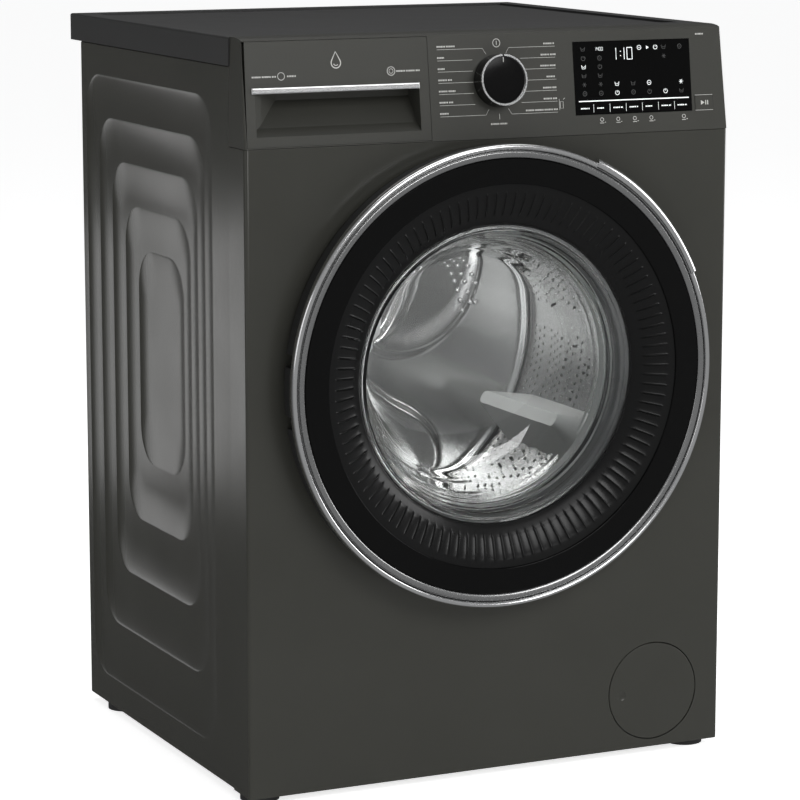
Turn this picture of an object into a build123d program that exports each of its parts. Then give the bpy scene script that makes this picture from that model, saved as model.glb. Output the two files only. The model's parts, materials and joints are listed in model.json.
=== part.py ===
"""Front-loading washing machine, as an assembly of separate parts.

Frame: +X to the right as seen from the front, +Y to the rear, +Z up, in millimetres.
The origin is on the floor, at the centre of the machine's bounding box.
A "depth" is a distance behind the front panel's outer face, negative in front of it.
"""

import math
import os

from build123d import *

# ------------------------------------------------------------------ driving sizes
WIDTH = 596.0
HEIGHT = 845.0
HALF = WIDTH / 2
FRONT = -254.0  # y of the front panel's outer face
TOP_DEPTH = 545.0  # the worktop's rear edge
SIDE_DEPTH = 512.0  # the side panels' rear edge
REAR_DEPTH = 500.0  # the rear panel's front face
RETURN = 46.0  # depth of the front panel's and the fascia's side returns
SHEET = 1.0  # steel sheet
GAP = 0.5  # assembly gap between neighbouring parts
FLOOR_GAP = 9.0  # under the cabinet
SEAM = 727.5  # top of the front panel, bottom of the fascia
WORKTOP = 813.5  # underside of the worktop
AXIS_Z = 465.0  # height of the drum axis
DOOR_HOLE = 176.0  # radius of the loading opening

LEAN_RUN = 15.0  # how far the fascia's top edge stands back
FASCIA_TOP = 842.0
FASCIA_TAPER = 3.0  # each side, from bottom to top
FASCIA_WALL = 2.2
LEAN = math.atan2(LEAN_RUN, FASCIA_TOP - SEAM)
DISPLAY_XS, DISPLAY_ZS = (103.5, 253.3), (749.0, 830.2)
KEY_XS, KEY_ZS = (257.5, 280.5), (749.6, 765.8)
KNOB_X, KNOB_Z, KNOB_R = 7.5, 790.5, 29.4
KNOB_STEM = 3.9

DRAWER_XS, DRAWER_ZS = (-294.6, -76.0), (729.0, 840.8)
RECESS_XS, RECESS_ZS = (-283.0, -88.0), (739.5, 785.0)
TRIM_XS, TRIM_ZS = (-286.7, -87.7), (785.0, 792.0)
TRAY_XS, TRAY_DEPTHS, TRAY_ZS = (-282.0, -92.0), (44.0, 312.0), (738.0, 798.0)
TRAY_CELLS = ((-280.0, -214.0), (-212.0, -166.0), (-164.0, -94.0))

RING_INNER, RING_OUTER = 244.0, 260.0
HINGE_X, HINGE_DEPTH = -243.0, -26.0
KNUCKLE_R, HINGE_PIN_R = 4.6, 2.6
LUG_Z, LUG_HEIGHT = (431.0, 499.0), 12.0
HANDLE_START, HANDLE_END = 24.4, 64.1  # degrees round the door
HANDLE_MID = (HANDLE_START + HANDLE_END) / 2
HANDLE_AXIS_R, HANDLE_AXIS_DEPTH, HANDLE_PIN_R = 236.0, -27.0, 3.0
HOOK_X, HOOK_DEPTH = 212.0, -16.0
RUNNING = 0.06  # radial clearance round pins and shafts

FLAP_X, FLAP_Z, FLAP_R = 210.0, 76.0, 57.0
PUMP_X, PUMP_Z = 205.0, 76.0
PUMP_BORE = 34.0

TUB_R, TUB_WALL, TUB_FRONT, TUB_JOINT, TUB_REAR = 267.0, 5.0, 62.0, 214.0, 425.0
DRUM_R, DRUM_FRONT, DRUM_BACK = 245.0, 80.0, 392.0
LIFTER_ANGLES = (90.0, 210.0, 330.0)
SHAFT_R = 15.0
MOTOR_X, MOTOR_Z, MOTOR_SHAFT_R = 35.0, 108.0, 7.0
DRUM_PULLEY_R, MOTOR_PULLEY_R = 140.0, 11.0
BELT_DEPTHS = (466.0, 480.0)
SPRING_X, SPRING_DEPTH, SPRING_ZS = 190.0, 400.0, (706.0, 778.0)
COIL_R, WIRE_R = 12.0, 1.8
DAMPER_DEPTH = 260.0

FOOT_PLACES = [(x, FRONT + depth) for x in (-272.0, 272.0) for depth in (34.0, 455.0)]
VALVE_X, VALVE_Z = -245.0, 772.0
DRAIN_X, DRAIN_Z = 235.0, 150.0
GLAND_X, GLAND_Z = 235.0, 760.0
SUMP_X, SUMP_DEPTH = 20.0, 150.0
FILL_X, FILL_DEPTH = -120.0, 300.0
HOSE_X, HOSE_Z = PUMP_X + 42.0, PUMP_Z + 14.0  # the pump's outlet
TRANSIT_PLACES = [(x, z) for x in (-190.0, 190.0) for z in (350.0, 580.0)]

DRUM_AXIS = Axis((0, 0, AXIS_Z), (0, 1, 0))
FASCIA = Plane(origin=(0, FRONT, SEAM), x_dir=(1, 0, 0), z_dir=(0, -math.cos(LEAN), math.sin(LEAN)))


# ------------------------------------------------------------------------ helpers
def front_plane(depth):
    """Plane parallel to the front, its normal pointing forward."""
    return Plane.XZ.offset(-(FRONT + depth))


def up_fascia(z):
    """Height z measured up the leaning fascia."""
    return (z - SEAM) / math.cos(LEAN)


def lean_depth(z):
    """Depth of the fascia's front surface at height z."""
    return (z - SEAM) * math.tan(LEAN)


def block(xs, depths, zs, mode=Mode.ADD):
    """Box between limits in x, depth and z."""
    with Locations((sum(xs) / 2, FRONT + sum(depths) / 2, sum(zs) / 2)):
        Box(xs[1] - xs[0], depths[1] - depths[0], zs[1] - zs[0], mode=mode)


def bar(x, z, radius, depths, mode=Mode.ADD):
    """Cylinder along Y between two depths."""
    with Locations(Location((x, FRONT + sum(depths) / 2, z), (90, 0, 0))):
        Cylinder(radius, depths[1] - depths[0], mode=mode)


def post(x, depth, radius, zs, mode=Mode.ADD):
    """Upright cylinder between two heights."""
    with Locations((x, FRONT + depth, sum(zs) / 2)):
        Cylinder(radius, zs[1] - zs[0], mode=mode)


def turn(*outline, mode=Mode.ADD):
    """Revolve a closed outline of (radius, depth) points about the drum axis."""
    with BuildSketch(Plane.XY.offset(AXIS_Z)) as profile:
        with BuildLine():
            Polyline(*[(radius, FRONT + depth) for radius, depth in outline], close=True)
        make_face()
    revolve(profile.sketch, axis=DRUM_AXIS, mode=mode)


def side_prism(xs, *outline, mode=Mode.ADD):
    """Closed outline of (depth, z) points, extruded between two x limits."""
    with BuildSketch(Plane.YZ.offset(xs[0])) as profile:
        with BuildLine():
            Polyline(*[(FRONT + depth, z) for depth, z in outline], close=True)
        make_face()
    extrude(profile.sketch, amount=xs[1] - xs[0], mode=mode)


def plan_prism(zs, *outline, mode=Mode.ADD):
    """Closed outline of (x, depth) points, extruded between two heights."""
    with BuildSketch(Plane.XY.offset(zs[0])) as profile:
        with BuildLine():
            Polyline(*[(x, FRONT + depth) for x, depth in outline], close=True)
        make_face()
    extrude(profile.sketch, amount=zs[1] - zs[0], mode=mode)


def front_prism(depths, *outline, mode=Mode.ADD):
    """Closed outline of (x, z) points, extruded between two depths."""
    with BuildSketch(front_plane(depths[1])) as profile:
        with BuildLine():
            Polyline(*outline, close=True)
        make_face()
    extrude(profile.sketch, amount=depths[1] - depths[0], mode=mode)


def sector(radii, angles, depths, mode=Mode.ADD):
    """Slab of a flat ring between two radii, two angles and two depths."""
    with BuildSketch(front_plane(depths[1])) as profile:
        with BuildLine():
            inner = CenterArc((0, AXIS_Z), radii[0], angles[0], angles[1] - angles[0])
            outer = CenterArc((0, AXIS_Z), radii[1], angles[0], angles[1] - angles[0])
            Line(inner @ 0, outer @ 0)
            Line(inner @ 1, outer @ 1)
        make_face()
    extrude(profile.sketch, amount=depths[1] - depths[0], mode=mode)


def panel_tile(xs, zs, margin, heights, mode=Mode.ADD):
    """Rectangular slab on the leaning fascia between two heights off its surface."""
    low, high = up_fascia(zs[0]), up_fascia(zs[1])
    with BuildSketch(FASCIA.offset(heights[0])) as profile:
        with Locations((sum(xs) / 2, (low + high) / 2)):
            Rectangle(xs[1] - xs[0] + 2 * margin, high - low + 2 * margin)
    extrude(profile.sketch, amount=heights[1] - heights[0], mode=mode)


def knob_disc(radius, heights, mode=Mode.ADD):
    """Disc about the knob's axis between two heights off the fascia."""
    with BuildSketch(FASCIA.offset(heights[0])) as profile:
        with Locations((KNOB_X, up_fascia(KNOB_Z))):
            Circle(radius)
    extrude(profile.sketch, amount=heights[1] - heights[0], mode=mode)


def tube_along(points, outer, inner):
    """Hose along (x, depth, z) points, its bends as wide as the runs allow."""
    places = [Vector(x, FRONT + depth, z) for x, depth, z in points]
    bends = []
    for before, corner, after in zip(places, places[1:], places[2:]):
        half_turn = math.radians((corner - before).get_angle(after - corner)) / 2
        shorter = min((corner - before).length, (after - corner).length)
        bends.append(0.45 * shorter / math.tan(half_turn))
    with BuildLine() as route:
        FilletPolyline(*places, radius=bends)
    with BuildSketch(Plane(origin=route.line @ 0, z_dir=route.line % 0)) as profile:
        Circle(outer)
        Circle(inner, mode=Mode.SUBTRACT)
    sweep(profile.sketch, path=route.line)


def rod_between(start, end, radius, length):
    """Round rod that starts at one point and runs towards another."""
    with BuildSketch(Plane(origin=start, z_dir=end - start)) as profile:
        Circle(radius)
    extrude(profile.sketch, amount=length)


# --------------------------------------------------------------- cabinet and worktop
SIDE_X = HALF - 1.5  # outer face of the side panels
STEP_COUNT, STEP = 5, 1.0
STEP_CENTRE, STEP_HALF, STEP_INSET = 296.5, 199.0, 31.8
STEP_LOW, STEP_RISE, STEP_HIGH, STEP_FALL = 45.0, 70.0, 777.5, 49.6
STEP_CORNER = 45.0


def terrace(level, grow, xs, mode):
    """Slab with the rounded outline of one embossed step of the side panel."""
    low, high = STEP_LOW + STEP_RISE * level, STEP_HIGH - STEP_FALL * level
    across = 2 * (STEP_HALF - STEP_INSET * level + grow)
    with BuildSketch(Plane.YZ.offset(xs[0])) as outline:
        with Locations((FRONT + STEP_CENTRE, (low + high) / 2)):
            RectangleRounded(across, high - low + 2 * grow, STEP_CORNER + grow)
    extrude(outline.sketch, amount=xs[1] - xs[0], mode=mode)


def make_side_panel_left():
    """Sheet with five nested steps pressed inwards and a flange at the rear."""
    with BuildPart() as side_panel_left:
        heights = (FLOOR_GAP, WORKTOP - GAP)
        block((-SIDE_X, -SIDE_X + SHEET), (RETURN + GAP, SIDE_DEPTH), heights)
        block((-SIDE_X, -SIDE_X + 12), (SIDE_DEPTH - SHEET, SIDE_DEPTH), heights)
        for level in range(STEP_COUNT):
            face = -SIDE_X + (level + 1) * STEP
            terrace(level, 1.5, (face - STEP, face + SHEET), Mode.ADD)
        for level in range(STEP_COUNT):
            face = -SIDE_X + (level + 1) * STEP
            terrace(level, 0, (-SIDE_X - STEP, face), Mode.SUBTRACT)
    return side_panel_left


def make_side_panel_right():
    left = make_side_panel_left().part
    with BuildPart() as side_panel_right:
        add(left.mirror(Plane.YZ))
    return side_panel_right


def make_front_panel():
    """Front sheet with wrapped sides, loading opening, pump hatch and slots."""
    corner = 4.0
    with BuildPart() as front_panel:
        with BuildSketch(Plane.XY.offset(FLOOR_GAP)):
            with Locations((0, FRONT + RETURN)):
                RectangleRounded(WIDTH, 2 * RETURN, corner)
                RectangleRounded(
                    WIDTH - 2 * SHEET, 2 * (RETURN - SHEET), corner - SHEET, mode=Mode.SUBTRACT
                )
            with Locations((0, FRONT + 1.5 * RETURN)):
                Rectangle(WIDTH, RETURN, mode=Mode.SUBTRACT)
        extrude(amount=SEAM - GAP - FLOOR_GAP)
        flange_xs = (-HALF + corner, HALF - corner)
        block(flange_xs, (SHEET / 2, 16), (FLOOR_GAP, FLOOR_GAP + SHEET))
        block(flange_xs, (SHEET / 2, 30), (SEAM - GAP - SHEET, SEAM - GAP))
        turn((DOOR_HOLE, 0), (DOOR_HOLE + SHEET, 0), (DOOR_HOLE + SHEET, 12), (DOOR_HOLE, 12))
        bar(0, AXIS_Z, DOOR_HOLE, (-5, 15), Mode.SUBTRACT)
        bar(FLAP_X, FLAP_Z, FLAP_R + 1, (-5, 2), Mode.SUBTRACT)
        block((197, 224), (-5, 2), (450, 480), Mode.SUBTRACT)
        for z in LUG_Z:
            reach = LUG_HEIGHT / 2 + 1
            block((-219, -203), (-5, 2), (z - reach, z + reach), Mode.SUBTRACT)
    return front_panel


def make_rear_panel():
    """Flat rear sheet with the belt opening, vents and holes for the connections."""
    with BuildPart() as rear_panel:
        depths, through = (REAR_DEPTH, REAR_DEPTH + SHEET), (REAR_DEPTH - 5, REAR_DEPTH + 5)
        block((-HALF + 4, HALF - 4), depths, (FLOOR_GAP + 12, WORKTOP - GAP))
        bar(0, AXIS_Z, 170, through, Mode.SUBTRACT)
        bar(VALVE_X, VALVE_Z, 17, through, Mode.SUBTRACT)
        bar(DRAIN_X, DRAIN_Z, 16, through, Mode.SUBTRACT)
        bar(GLAND_X, GLAND_Z, 9.2, through, Mode.SUBTRACT)
        for x, z in TRANSIT_PLACES:
            bar(x, z, 9, through, Mode.SUBTRACT)
        with BuildSketch(front_plane(REAR_DEPTH - 5)):
            with Locations((0, 680)):
                with GridLocations(430, 14, 2, 5):
                    SlotOverall(60, 6)
        extrude(amount=-10, mode=Mode.SUBTRACT)
    return rear_panel


def make_service_cover():
    """Round dished cover over the drum pulley, screwed to the rear panel."""
    with BuildPart() as service_cover:
        turn(
            (0, 505), (150, 505), (160, 501.2), (184, 501.2), (184, 502.6),
            (161, 502.6), (151, 506.4), (0, 506.4),
        )
        with BuildSketch(front_plane(REAR_DEPTH)):
            with Locations((0, AXIS_Z)):
                with PolarLocations(177, 6, start_angle=30):
                    Circle(2.2)
        extrude(amount=-5, mode=Mode.SUBTRACT)
    return service_cover


def make_base_pan():
    """Moulded pan that closes the bottom, with bosses for the feet."""
    xs, depths, wall = (-290.0, 290.0), (20.0, 498.0), 2.5
    inner_xs, inner_depths = (xs[0] + wall, xs[1] - wall), (depths[0] + wall, depths[1] - wall)
    with BuildPart() as base_pan:
        block(xs, depths, (FLOOR_GAP + 1.5, 34))
        block(inner_xs, inner_depths, (20.5, 40), Mode.SUBTRACT)
        block(inner_xs, inner_depths, (0, 18), Mode.SUBTRACT)
        for x in (-120, 0, 120):
            block((x - wall / 2, x + wall / 2), inner_depths, (FLOOR_GAP + 1.5, 18.5))
        with Locations(*[(x, y, 21) for x, y in FOOT_PLACES]):
            Cylinder(11, 8)
            Cylinder(5.1, 30, mode=Mode.SUBTRACT)
        for x in (-225, 225):
            block((x - 14, x + 14), (DAMPER_DEPTH - 10, DAMPER_DEPTH + 10), (20, 26.5))
    return base_pan


TOP_X, RIM = HALF - 1.0, 24.0
BOARD_TOP, BOARD_BOTTOM = HEIGHT - 2.5, HEIGHT - 18.5


def make_worktop_frame():
    """Moulded rim of the worktop, with a ledge that the board lies on."""
    with BuildPart() as worktop_frame:
        front = RETURN + GAP
        block((-TOP_X, TOP_X), (front, TOP_DEPTH), (WORKTOP, HEIGHT))
        rounded = worktop_frame.faces().sort_by(Axis.Z)[-1].edges().sort_by(Axis.Y)[1:]
        fillet(rounded, 2.5)
        for inset, zs in (
            (RIM, (BOARD_BOTTOM, HEIGHT + 5)),
            (RIM + 10, (WORKTOP - 5, HEIGHT)),
            (3, (WORKTOP - 5, BOARD_BOTTOM - 3)),
        ):
            xs, depths = (-TOP_X + inset, TOP_X - inset), (front + inset, TOP_DEPTH - inset)
            block(xs, depths, zs, Mode.SUBTRACT)
    return worktop_frame


def make_worktop_board():
    inset = RIM + 0.3
    with BuildPart() as worktop_board:
        block(
            (-TOP_X + inset, TOP_X - inset),
            (RETURN + GAP + inset, TOP_DEPTH - inset),
            (BOARD_BOTTOM, BOARD_TOP),
        )
        chamfer(worktop_board.faces().sort_by(Axis.Z)[-1].edges(), 0.8)
    return worktop_board


def make_cross_braces():
    """Front strap under the worktop, and the folded rail that the springs hang from."""
    with BuildPart() as cross_braces:
        block((-292, 292), (48, 92), (810.5, 812.5))
        block((-292, 292), (SPRING_DEPTH - 18, SPRING_DEPTH + 18), (810.5, 812.5))
        block((-292, 292), (SPRING_DEPTH + 16, SPRING_DEPTH + 18), (790, 811))
    return cross_braces


def make_levelling_feet():
    with BuildPart() as levelling_feet:
        with Locations(*[(x, y, 0) for x, y in FOOT_PLACES]):
            Cylinder(22, 8, align=(Align.CENTER, Align.CENTER, Align.MIN))
        rims = levelling_feet.edges().filter_by(GeomType.CIRCLE).group_by(Axis.Z)
        fillet(rims[-1], 2.5)
        with Locations(*[(x, y, 0) for x, y in FOOT_PLACES]):
            Cylinder(5, 44, align=(Align.CENTER, Align.CENTER, Align.MIN))
    return levelling_feet


def make_foot_lock_nuts():
    with BuildPart() as foot_lock_nuts:
        with BuildSketch(Plane.XY.offset(9.5)):
            with Locations(*FOOT_PLACES):
                RegularPolygon(9, 6)
                Circle(5.05, mode=Mode.SUBTRACT)
        extrude(amount=7)
    return foot_lock_nuts


# ------------------------------------------------------------------ control fascia
def make_control_fascia():
    """Hollow fascia, open behind and below, with windows for drawer, display, key and knob."""
    wall, top_half = FASCIA_WALL, HALF - FASCIA_TAPER
    hollow_top = FASCIA_TOP - wall
    with BuildPart() as control_fascia:
        side_prism(
            (-HALF, HALF),
            (0, SEAM), (LEAN_RUN, FASCIA_TOP), (LEAN_RUN + 7, HEIGHT - 1), (LEAN_RUN + 17, HEIGHT),
            (RETURN, HEIGHT), (RETURN, SEAM),
        )
        front_prism(
            (-5, 60), (-HALF, SEAM), (HALF, SEAM), (top_half, HEIGHT), (-top_half, HEIGHT),
            mode=Mode.INTERSECT,
        )
        corners = control_fascia.edges().filter_by(
            lambda edge: abs(edge.center().X) > top_half - 1
            and edge.length > 100
            and edge.center().Y < FRONT + LEAN_RUN
        )
        fillet(corners, 2.0)
        for z, front, half in ((SEAM, wall, HALF - wall), (hollow_top, wall + LEAN_RUN, top_half - wall)):
            with BuildSketch(Plane.XY.offset(z)):
                with Locations((0, FRONT + (front + RETURN + 1) / 2)):
                    Rectangle(2 * half, RETURN + 1 - front)
        loft(mode=Mode.SUBTRACT)
        block((DRAWER_XS[1] + 1, DRAWER_XS[1] + 3), (16, RETURN), (SEAM, hollow_top + 0.2))
        block((-HALF + 1, HALF - 1), (wall - 0.5, RETURN - 1), (SEAM, SEAM + 1.2))
        panel_tile(
            (DRAWER_XS[0] - 0.4, DRAWER_XS[1] + 0.4), (SEAM + 1.2, DRAWER_ZS[1] + 0.5), 0,
            (-4.2, 10), Mode.SUBTRACT,
        )
        panel_tile(DISPLAY_XS, DISPLAY_ZS, 0.1, (-5, 5), Mode.SUBTRACT)
        panel_tile(KEY_XS, KEY_ZS, 0.35, (-5, 5), Mode.SUBTRACT)
        knob_disc(KNOB_STEM + RUNNING, (-5, 5), Mode.SUBTRACT)
    return control_fascia


def make_display_glass():
    with BuildPart() as display_glass:
        panel_tile(DISPLAY_XS, DISPLAY_ZS, 0, (-2.2, 0.3))
    return display_glass


def make_control_board():
    """Circuit board with its parts, in an open carrier behind the display and the knob."""
    carrier_xs, carrier_zs = (-45.0, 265.0), (744.0, 828.0)
    with BuildPart() as control_board:
        panel_tile(carrier_xs, carrier_zs, 0, (-26, -12))
        panel_tile(carrier_xs, carrier_zs, -2, (-27, -13.6), Mode.SUBTRACT)
        for x, z in ((60, 800), (150, 770), (210, 795)):
            panel_tile((x - 13, x + 13), (z - 9, z + 9), 0, (-21, -13))
        knob_disc(KNOB_STEM + RUNNING, (-30, -10), Mode.SUBTRACT)
    return control_board


def make_program_knob():
    """Slightly tapered knob on its stem."""
    with BuildPart() as program_knob:
        with BuildSketch(FASCIA.offset(0.5)):
            with Locations((KNOB_X, up_fascia(KNOB_Z))):
                Circle(KNOB_R)
        extrude(amount=16.3, taper=3.5)
        knob_disc(KNOB_STEM, (-14, 1))
    return program_knob


def make_knob_ring():
    """Bright ring on the knob's face, with a notch at the pointer."""
    with BuildPart() as knob_ring:
        knob_disc(28.2, (16.8, 18.4))
        knob_disc(26.2, (16, 19), Mode.SUBTRACT)
        notch_z = KNOB_Z + 27.2 * math.cos(LEAN)
        panel_tile((KNOB_X - 1, KNOB_X + 1), (notch_z - 2.5, notch_z + 2.5), 0, (16, 19), Mode.SUBTRACT)
    return knob_ring


def make_start_key():
    with BuildPart() as start_key:
        panel_tile(KEY_XS, KEY_ZS, 0, (-5, 0.5))
        fillet(start_key.faces().sort_by(Axis.Y)[0].edges(), 0.3)
    return start_key


# ---------------------------------------------------------------- detergent drawer
def make_drawer_front():
    """Drawer front that follows the fascia, with a sloping finger recess."""
    (left, right), (low, high) = DRAWER_XS, DRAWER_ZS
    skin = 2.6
    with BuildPart() as drawer_front:
        side_prism(
            (left, right),
            (lean_depth(low) + 0.2, low), (lean_depth(high) + 0.2, high),
            (lean_depth(high) + skin, high), (lean_depth(high) + skin, high - 2.6),
            (44, high - 2.6), (44, low),
        )
        front_prism(
            (-5, 50), (left, low), (right, low), (right, HEIGHT), (left + FASCIA_TAPER, HEIGHT),
            mode=Mode.INTERSECT,
        )
        side_prism(
            RECESS_XS,
            (-20, RECESS_ZS[0] - 2), (lean_depth(RECESS_ZS[0]), RECESS_ZS[0]),
            (13, RECESS_ZS[0] + 9), (36, 776), (36, RECESS_ZS[1]), (-20, RECESS_ZS[1]),
            mode=Mode.SUBTRACT,
        )
        plan_prism(
            (RECESS_ZS[0] - 1, RECESS_ZS[1]),
            (RECESS_XS[0] - 0.1, 9), (-272, 16), (-246, 37), (RECESS_XS[0] - 0.1, 37),
        )
        side_prism(
            (RECESS_XS[0] - 0.1, -240), (-20, SEAM), (lean_depth(SEAM) - 0.3, SEAM),
            (lean_depth(high) - 0.3, high), (-20, high), mode=Mode.SUBTRACT,
        )
        block((-289, -80), (20, 50), (796, 834), Mode.SUBTRACT)
        panel_tile(TRIM_XS, TRIM_ZS, 0.1, (-8.2, 5), Mode.SUBTRACT)
    return drawer_front


def make_drawer_trim():
    """Bright grip bar over the finger recess."""
    with BuildPart() as drawer_trim:
        panel_tile(TRIM_XS, TRIM_ZS, 0, (-8, 2.4))
        fillet(drawer_trim.faces().sort_by(Axis.Y)[0].edges(), 1.5)
    return drawer_trim


def make_drawer_tray():
    """Three open compartments; the rear of the tray is cut low for the siphon cap."""
    wall, floor = 2.0, TRAY_ZS[0] + 2.0
    inner_depths = (TRAY_DEPTHS[0] + wall, TRAY_DEPTHS[1] - wall)
    with BuildPart() as drawer_tray:
        block(TRAY_XS, TRAY_DEPTHS, TRAY_ZS)
        for xs in TRAY_CELLS:
            block(xs, inner_depths, (floor, TRAY_ZS[1] + 5), Mode.SUBTRACT)
        block((TRAY_XS[0] + wall, TRAY_XS[1] - wall), (TRAY_DEPTHS[1] - 60, TRAY_DEPTHS[1] + 5),
              (780, TRAY_ZS[1] + 5), Mode.SUBTRACT)
    return drawer_tray


def make_softener_cap():
    """Siphon cap in the middle compartment."""
    xs, depths = (-211.6, -166.4), (236.0, 296.0)
    x, depth = sum(xs) / 2, sum(depths) / 2
    with BuildPart() as softener_cap:
        block(xs, depths, (772, 775))
        post(x, depth, 9, (741, 773))
        post(x, depth, 7, (730, 772), Mode.SUBTRACT)
        block((x - 8, x + 8), (depths[0], depths[0] + 3), (774, 783))
    return softener_cap


def make_dispenser_housing():
    """Box that the drawer slides in, with a ribbed lid and an outlet underneath."""
    with BuildPart() as dispenser_housing:
        block((-289, -85), (46.6, 352), (731, 808))
        block((-285, -89), (40, 348), (735, 805), Mode.SUBTRACT)
        post(FILL_X, FILL_DEPTH, 15, (718, 733))
        post(FILL_X, FILL_DEPTH, 12.5, (710, 736), Mode.SUBTRACT)
        for x in (-245, -190, -140):
            block((x - 12, x + 12), (100, 330), (807.5, 809.5))
        for x in (VALVE_X - 14, VALVE_X + 14):
            bar(x, VALVE_Z, 5.5, (346, 362))
            bar(x, VALVE_Z, 3.8, (340, 365), Mode.SUBTRACT)
    return dispenser_housing


# ---------------------------------------------------------------------------- door
def make_door_ring():
    """Bright stepped ring, cut back where the handle sits."""
    with BuildPart() as door_ring:
        turn(
            (RING_INNER, -33.6), (246.5, -35.2), (251.4, -35.6), (252.0, -35.0),
            (252.8, -36.6), (255.5, -37), (258.2, -36.2), (259.6, -34), (RING_OUTER, -31.5),
            (RING_OUTER, -29), (258.2, -29), (258, -33), (256.5, -34.6), (253.5, -34.8),
            (252.4, -33.2), (247, -32.8), (RING_INNER, -31.6),
        )
        sector((254.6, 275), (HANDLE_START - 0.4, HANDLE_END + 0.4), (-50, -20), Mode.SUBTRACT)
    return door_ring


def make_door_cover():
    """Dark front trim: a flat band, a step, and a funnel down to the glass."""
    with BuildPart() as door_cover:
        turn(
            (243.9, -33.4), (230, -34.2), (216, -34.4), (214.6, -31.6), (206, -30),
            (192, -25.6), (180, -19.6), (172, -14.2), (168.8, -11.4), (167.6, -9.6),
            (170.4, -9.6), (174, -12.4), (182, -18), (193, -23.4), (206, -27.6),
            (216, -29.6), (218, -31.8), (230, -31.8), (243.9, -31.2),
        )
    return door_cover


def handle_pivot_plane():
    """Plane at the handle's pivot, its normal along the pivot pin."""
    angle = math.radians(HANDLE_MID)
    pivot = (
        HANDLE_AXIS_R * math.cos(angle),
        FRONT + HANDLE_AXIS_DEPTH,
        AXIS_Z + HANDLE_AXIS_R * math.sin(angle),
    )
    return Plane(origin=pivot, x_dir=(0, 1, 0), z_dir=(math.sin(angle), 0, -math.cos(angle)))


def make_door_rear_frame():
    """Dark shell behind the door's front, with room for hinge, handle and latch."""
    with BuildPart() as door_rear_frame:
        turn(
            (257, -28.8), (257, -7), (253, -3), (180, -3), (172, -4.8), (168, -5), (168, -7.2),
            (183, -7.2), (183, -18.2), (186, -19.7), (186, -5.5), (251, -5.5), (254, -8.5),
            (254, -28.8),
        )
        for z in LUG_Z:
            reach = LUG_HEIGHT / 2 + 1.2
            block((-270, -194), (-40, 0), (z - reach, z + reach), Mode.SUBTRACT)
        block((194, 220), (-10, 0), (452, 478), Mode.SUBTRACT)
        sector((251.5, 275), (HANDLE_START - 0.4, HANDLE_END + 0.4), (-34, -18), Mode.SUBTRACT)
        for start, end in ((19, 23), (-23, -19)):
            with BuildSketch(handle_pivot_plane().offset(start)):
                with Locations((9.2, 0)):
                    Rectangle(25.2, 10)
                Circle(HANDLE_PIN_R + RUNNING, mode=Mode.SUBTRACT)
            extrude(amount=end - start)
        for z in (449, 481):
            block((HOOK_X - 7, HOOK_X + 7), (HOOK_DEPTH - 6, -5), (z - 1.5, z + 1.5))
        post(HOOK_X, HOOK_DEPTH, 2 + RUNNING, (440, 490), Mode.SUBTRACT)
    return door_rear_frame


def make_door_glass():
    """Clear bowl with a clamping flange."""
    with BuildPart() as door_glass:
        with BuildSketch(Plane.XY.offset(AXIS_Z)):
            with BuildLine():
                Spline(
                    (0, FRONT + 92), (60, FRONT + 90.6), (104, FRONT + 86), (128, FRONT + 76),
                    (140, FRONT + 56), (152, FRONT + 20), (163.4, FRONT - 7.4),
                    tangents=((1, 0), (0.4, -1)),
                )
                Polyline(
                    (163.4, FRONT - 7.4), (181, FRONT - 7.4), (181, FRONT - 9.4),
                    (167.4, FRONT - 9.4), (165, FRONT - 12), (161.6, FRONT - 12),
                )
                Spline(
                    (161.6, FRONT - 12), (148, FRONT + 19), (136.2, FRONT + 54),
                    (125, FRONT + 72.6), (103, FRONT + 81.8), (60, FRONT + 86.6), (0, FRONT + 88),
                    tangents=((-0.4, 1), (-1, 0)),
                )
                Line((0, FRONT + 88), (0, FRONT + 92))
            make_face()
        revolve(axis=DRUM_AXIS)
    return door_glass


def make_door_hinge_arm():
    """Knuckle between the two lugs, with a plate screwed inside the door's rear frame."""
    zs = (LUG_Z[0] + LUG_HEIGHT / 2 + 0.4, LUG_Z[1] - LUG_HEIGHT / 2 - 0.4)
    with BuildPart() as door_hinge_arm:
        post(HINGE_X, HINGE_DEPTH, KNUCKLE_R, zs)
        plan_prism(
            zs,
            (HINGE_X, -28), (-226, -28), (-226, -8.3), (-192, -8.3), (-192, -5.8),
            (-229, -5.8), (-229, -24), (HINGE_X, -24),
        )
        post(HINGE_X, HINGE_DEPTH, HINGE_PIN_R + RUNNING, zs, Mode.SUBTRACT)
    return door_hinge_arm


def make_hinge_bracket():
    """Fixed plate behind the front panel, with two lugs that carry the hinge pin."""
    with BuildPart() as hinge_bracket:
        block((-236, -190), (SHEET + 0.1, SHEET + 3.1), (412, 518))
        for z in LUG_Z:
            zs = (z - LUG_HEIGHT / 2, z + LUG_HEIGHT / 2)
            plan_prism(
                zs,
                (-205, 3), (-205, -14), (-213, -22), (HINGE_X + 1, HINGE_DEPTH - KNUCKLE_R),
                (HINGE_X + 1, HINGE_DEPTH + KNUCKLE_R), (-222, -14), (-217, -8), (-217, 3),
            )
            post(HINGE_X, HINGE_DEPTH, KNUCKLE_R, zs)
        post(HINGE_X, HINGE_DEPTH, HINGE_PIN_R, (LUG_Z[0], LUG_Z[1]))
        for z in (418, 512):
            bar(-213, z, 2.6, (0, 6), Mode.SUBTRACT)
    return hinge_bracket


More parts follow.
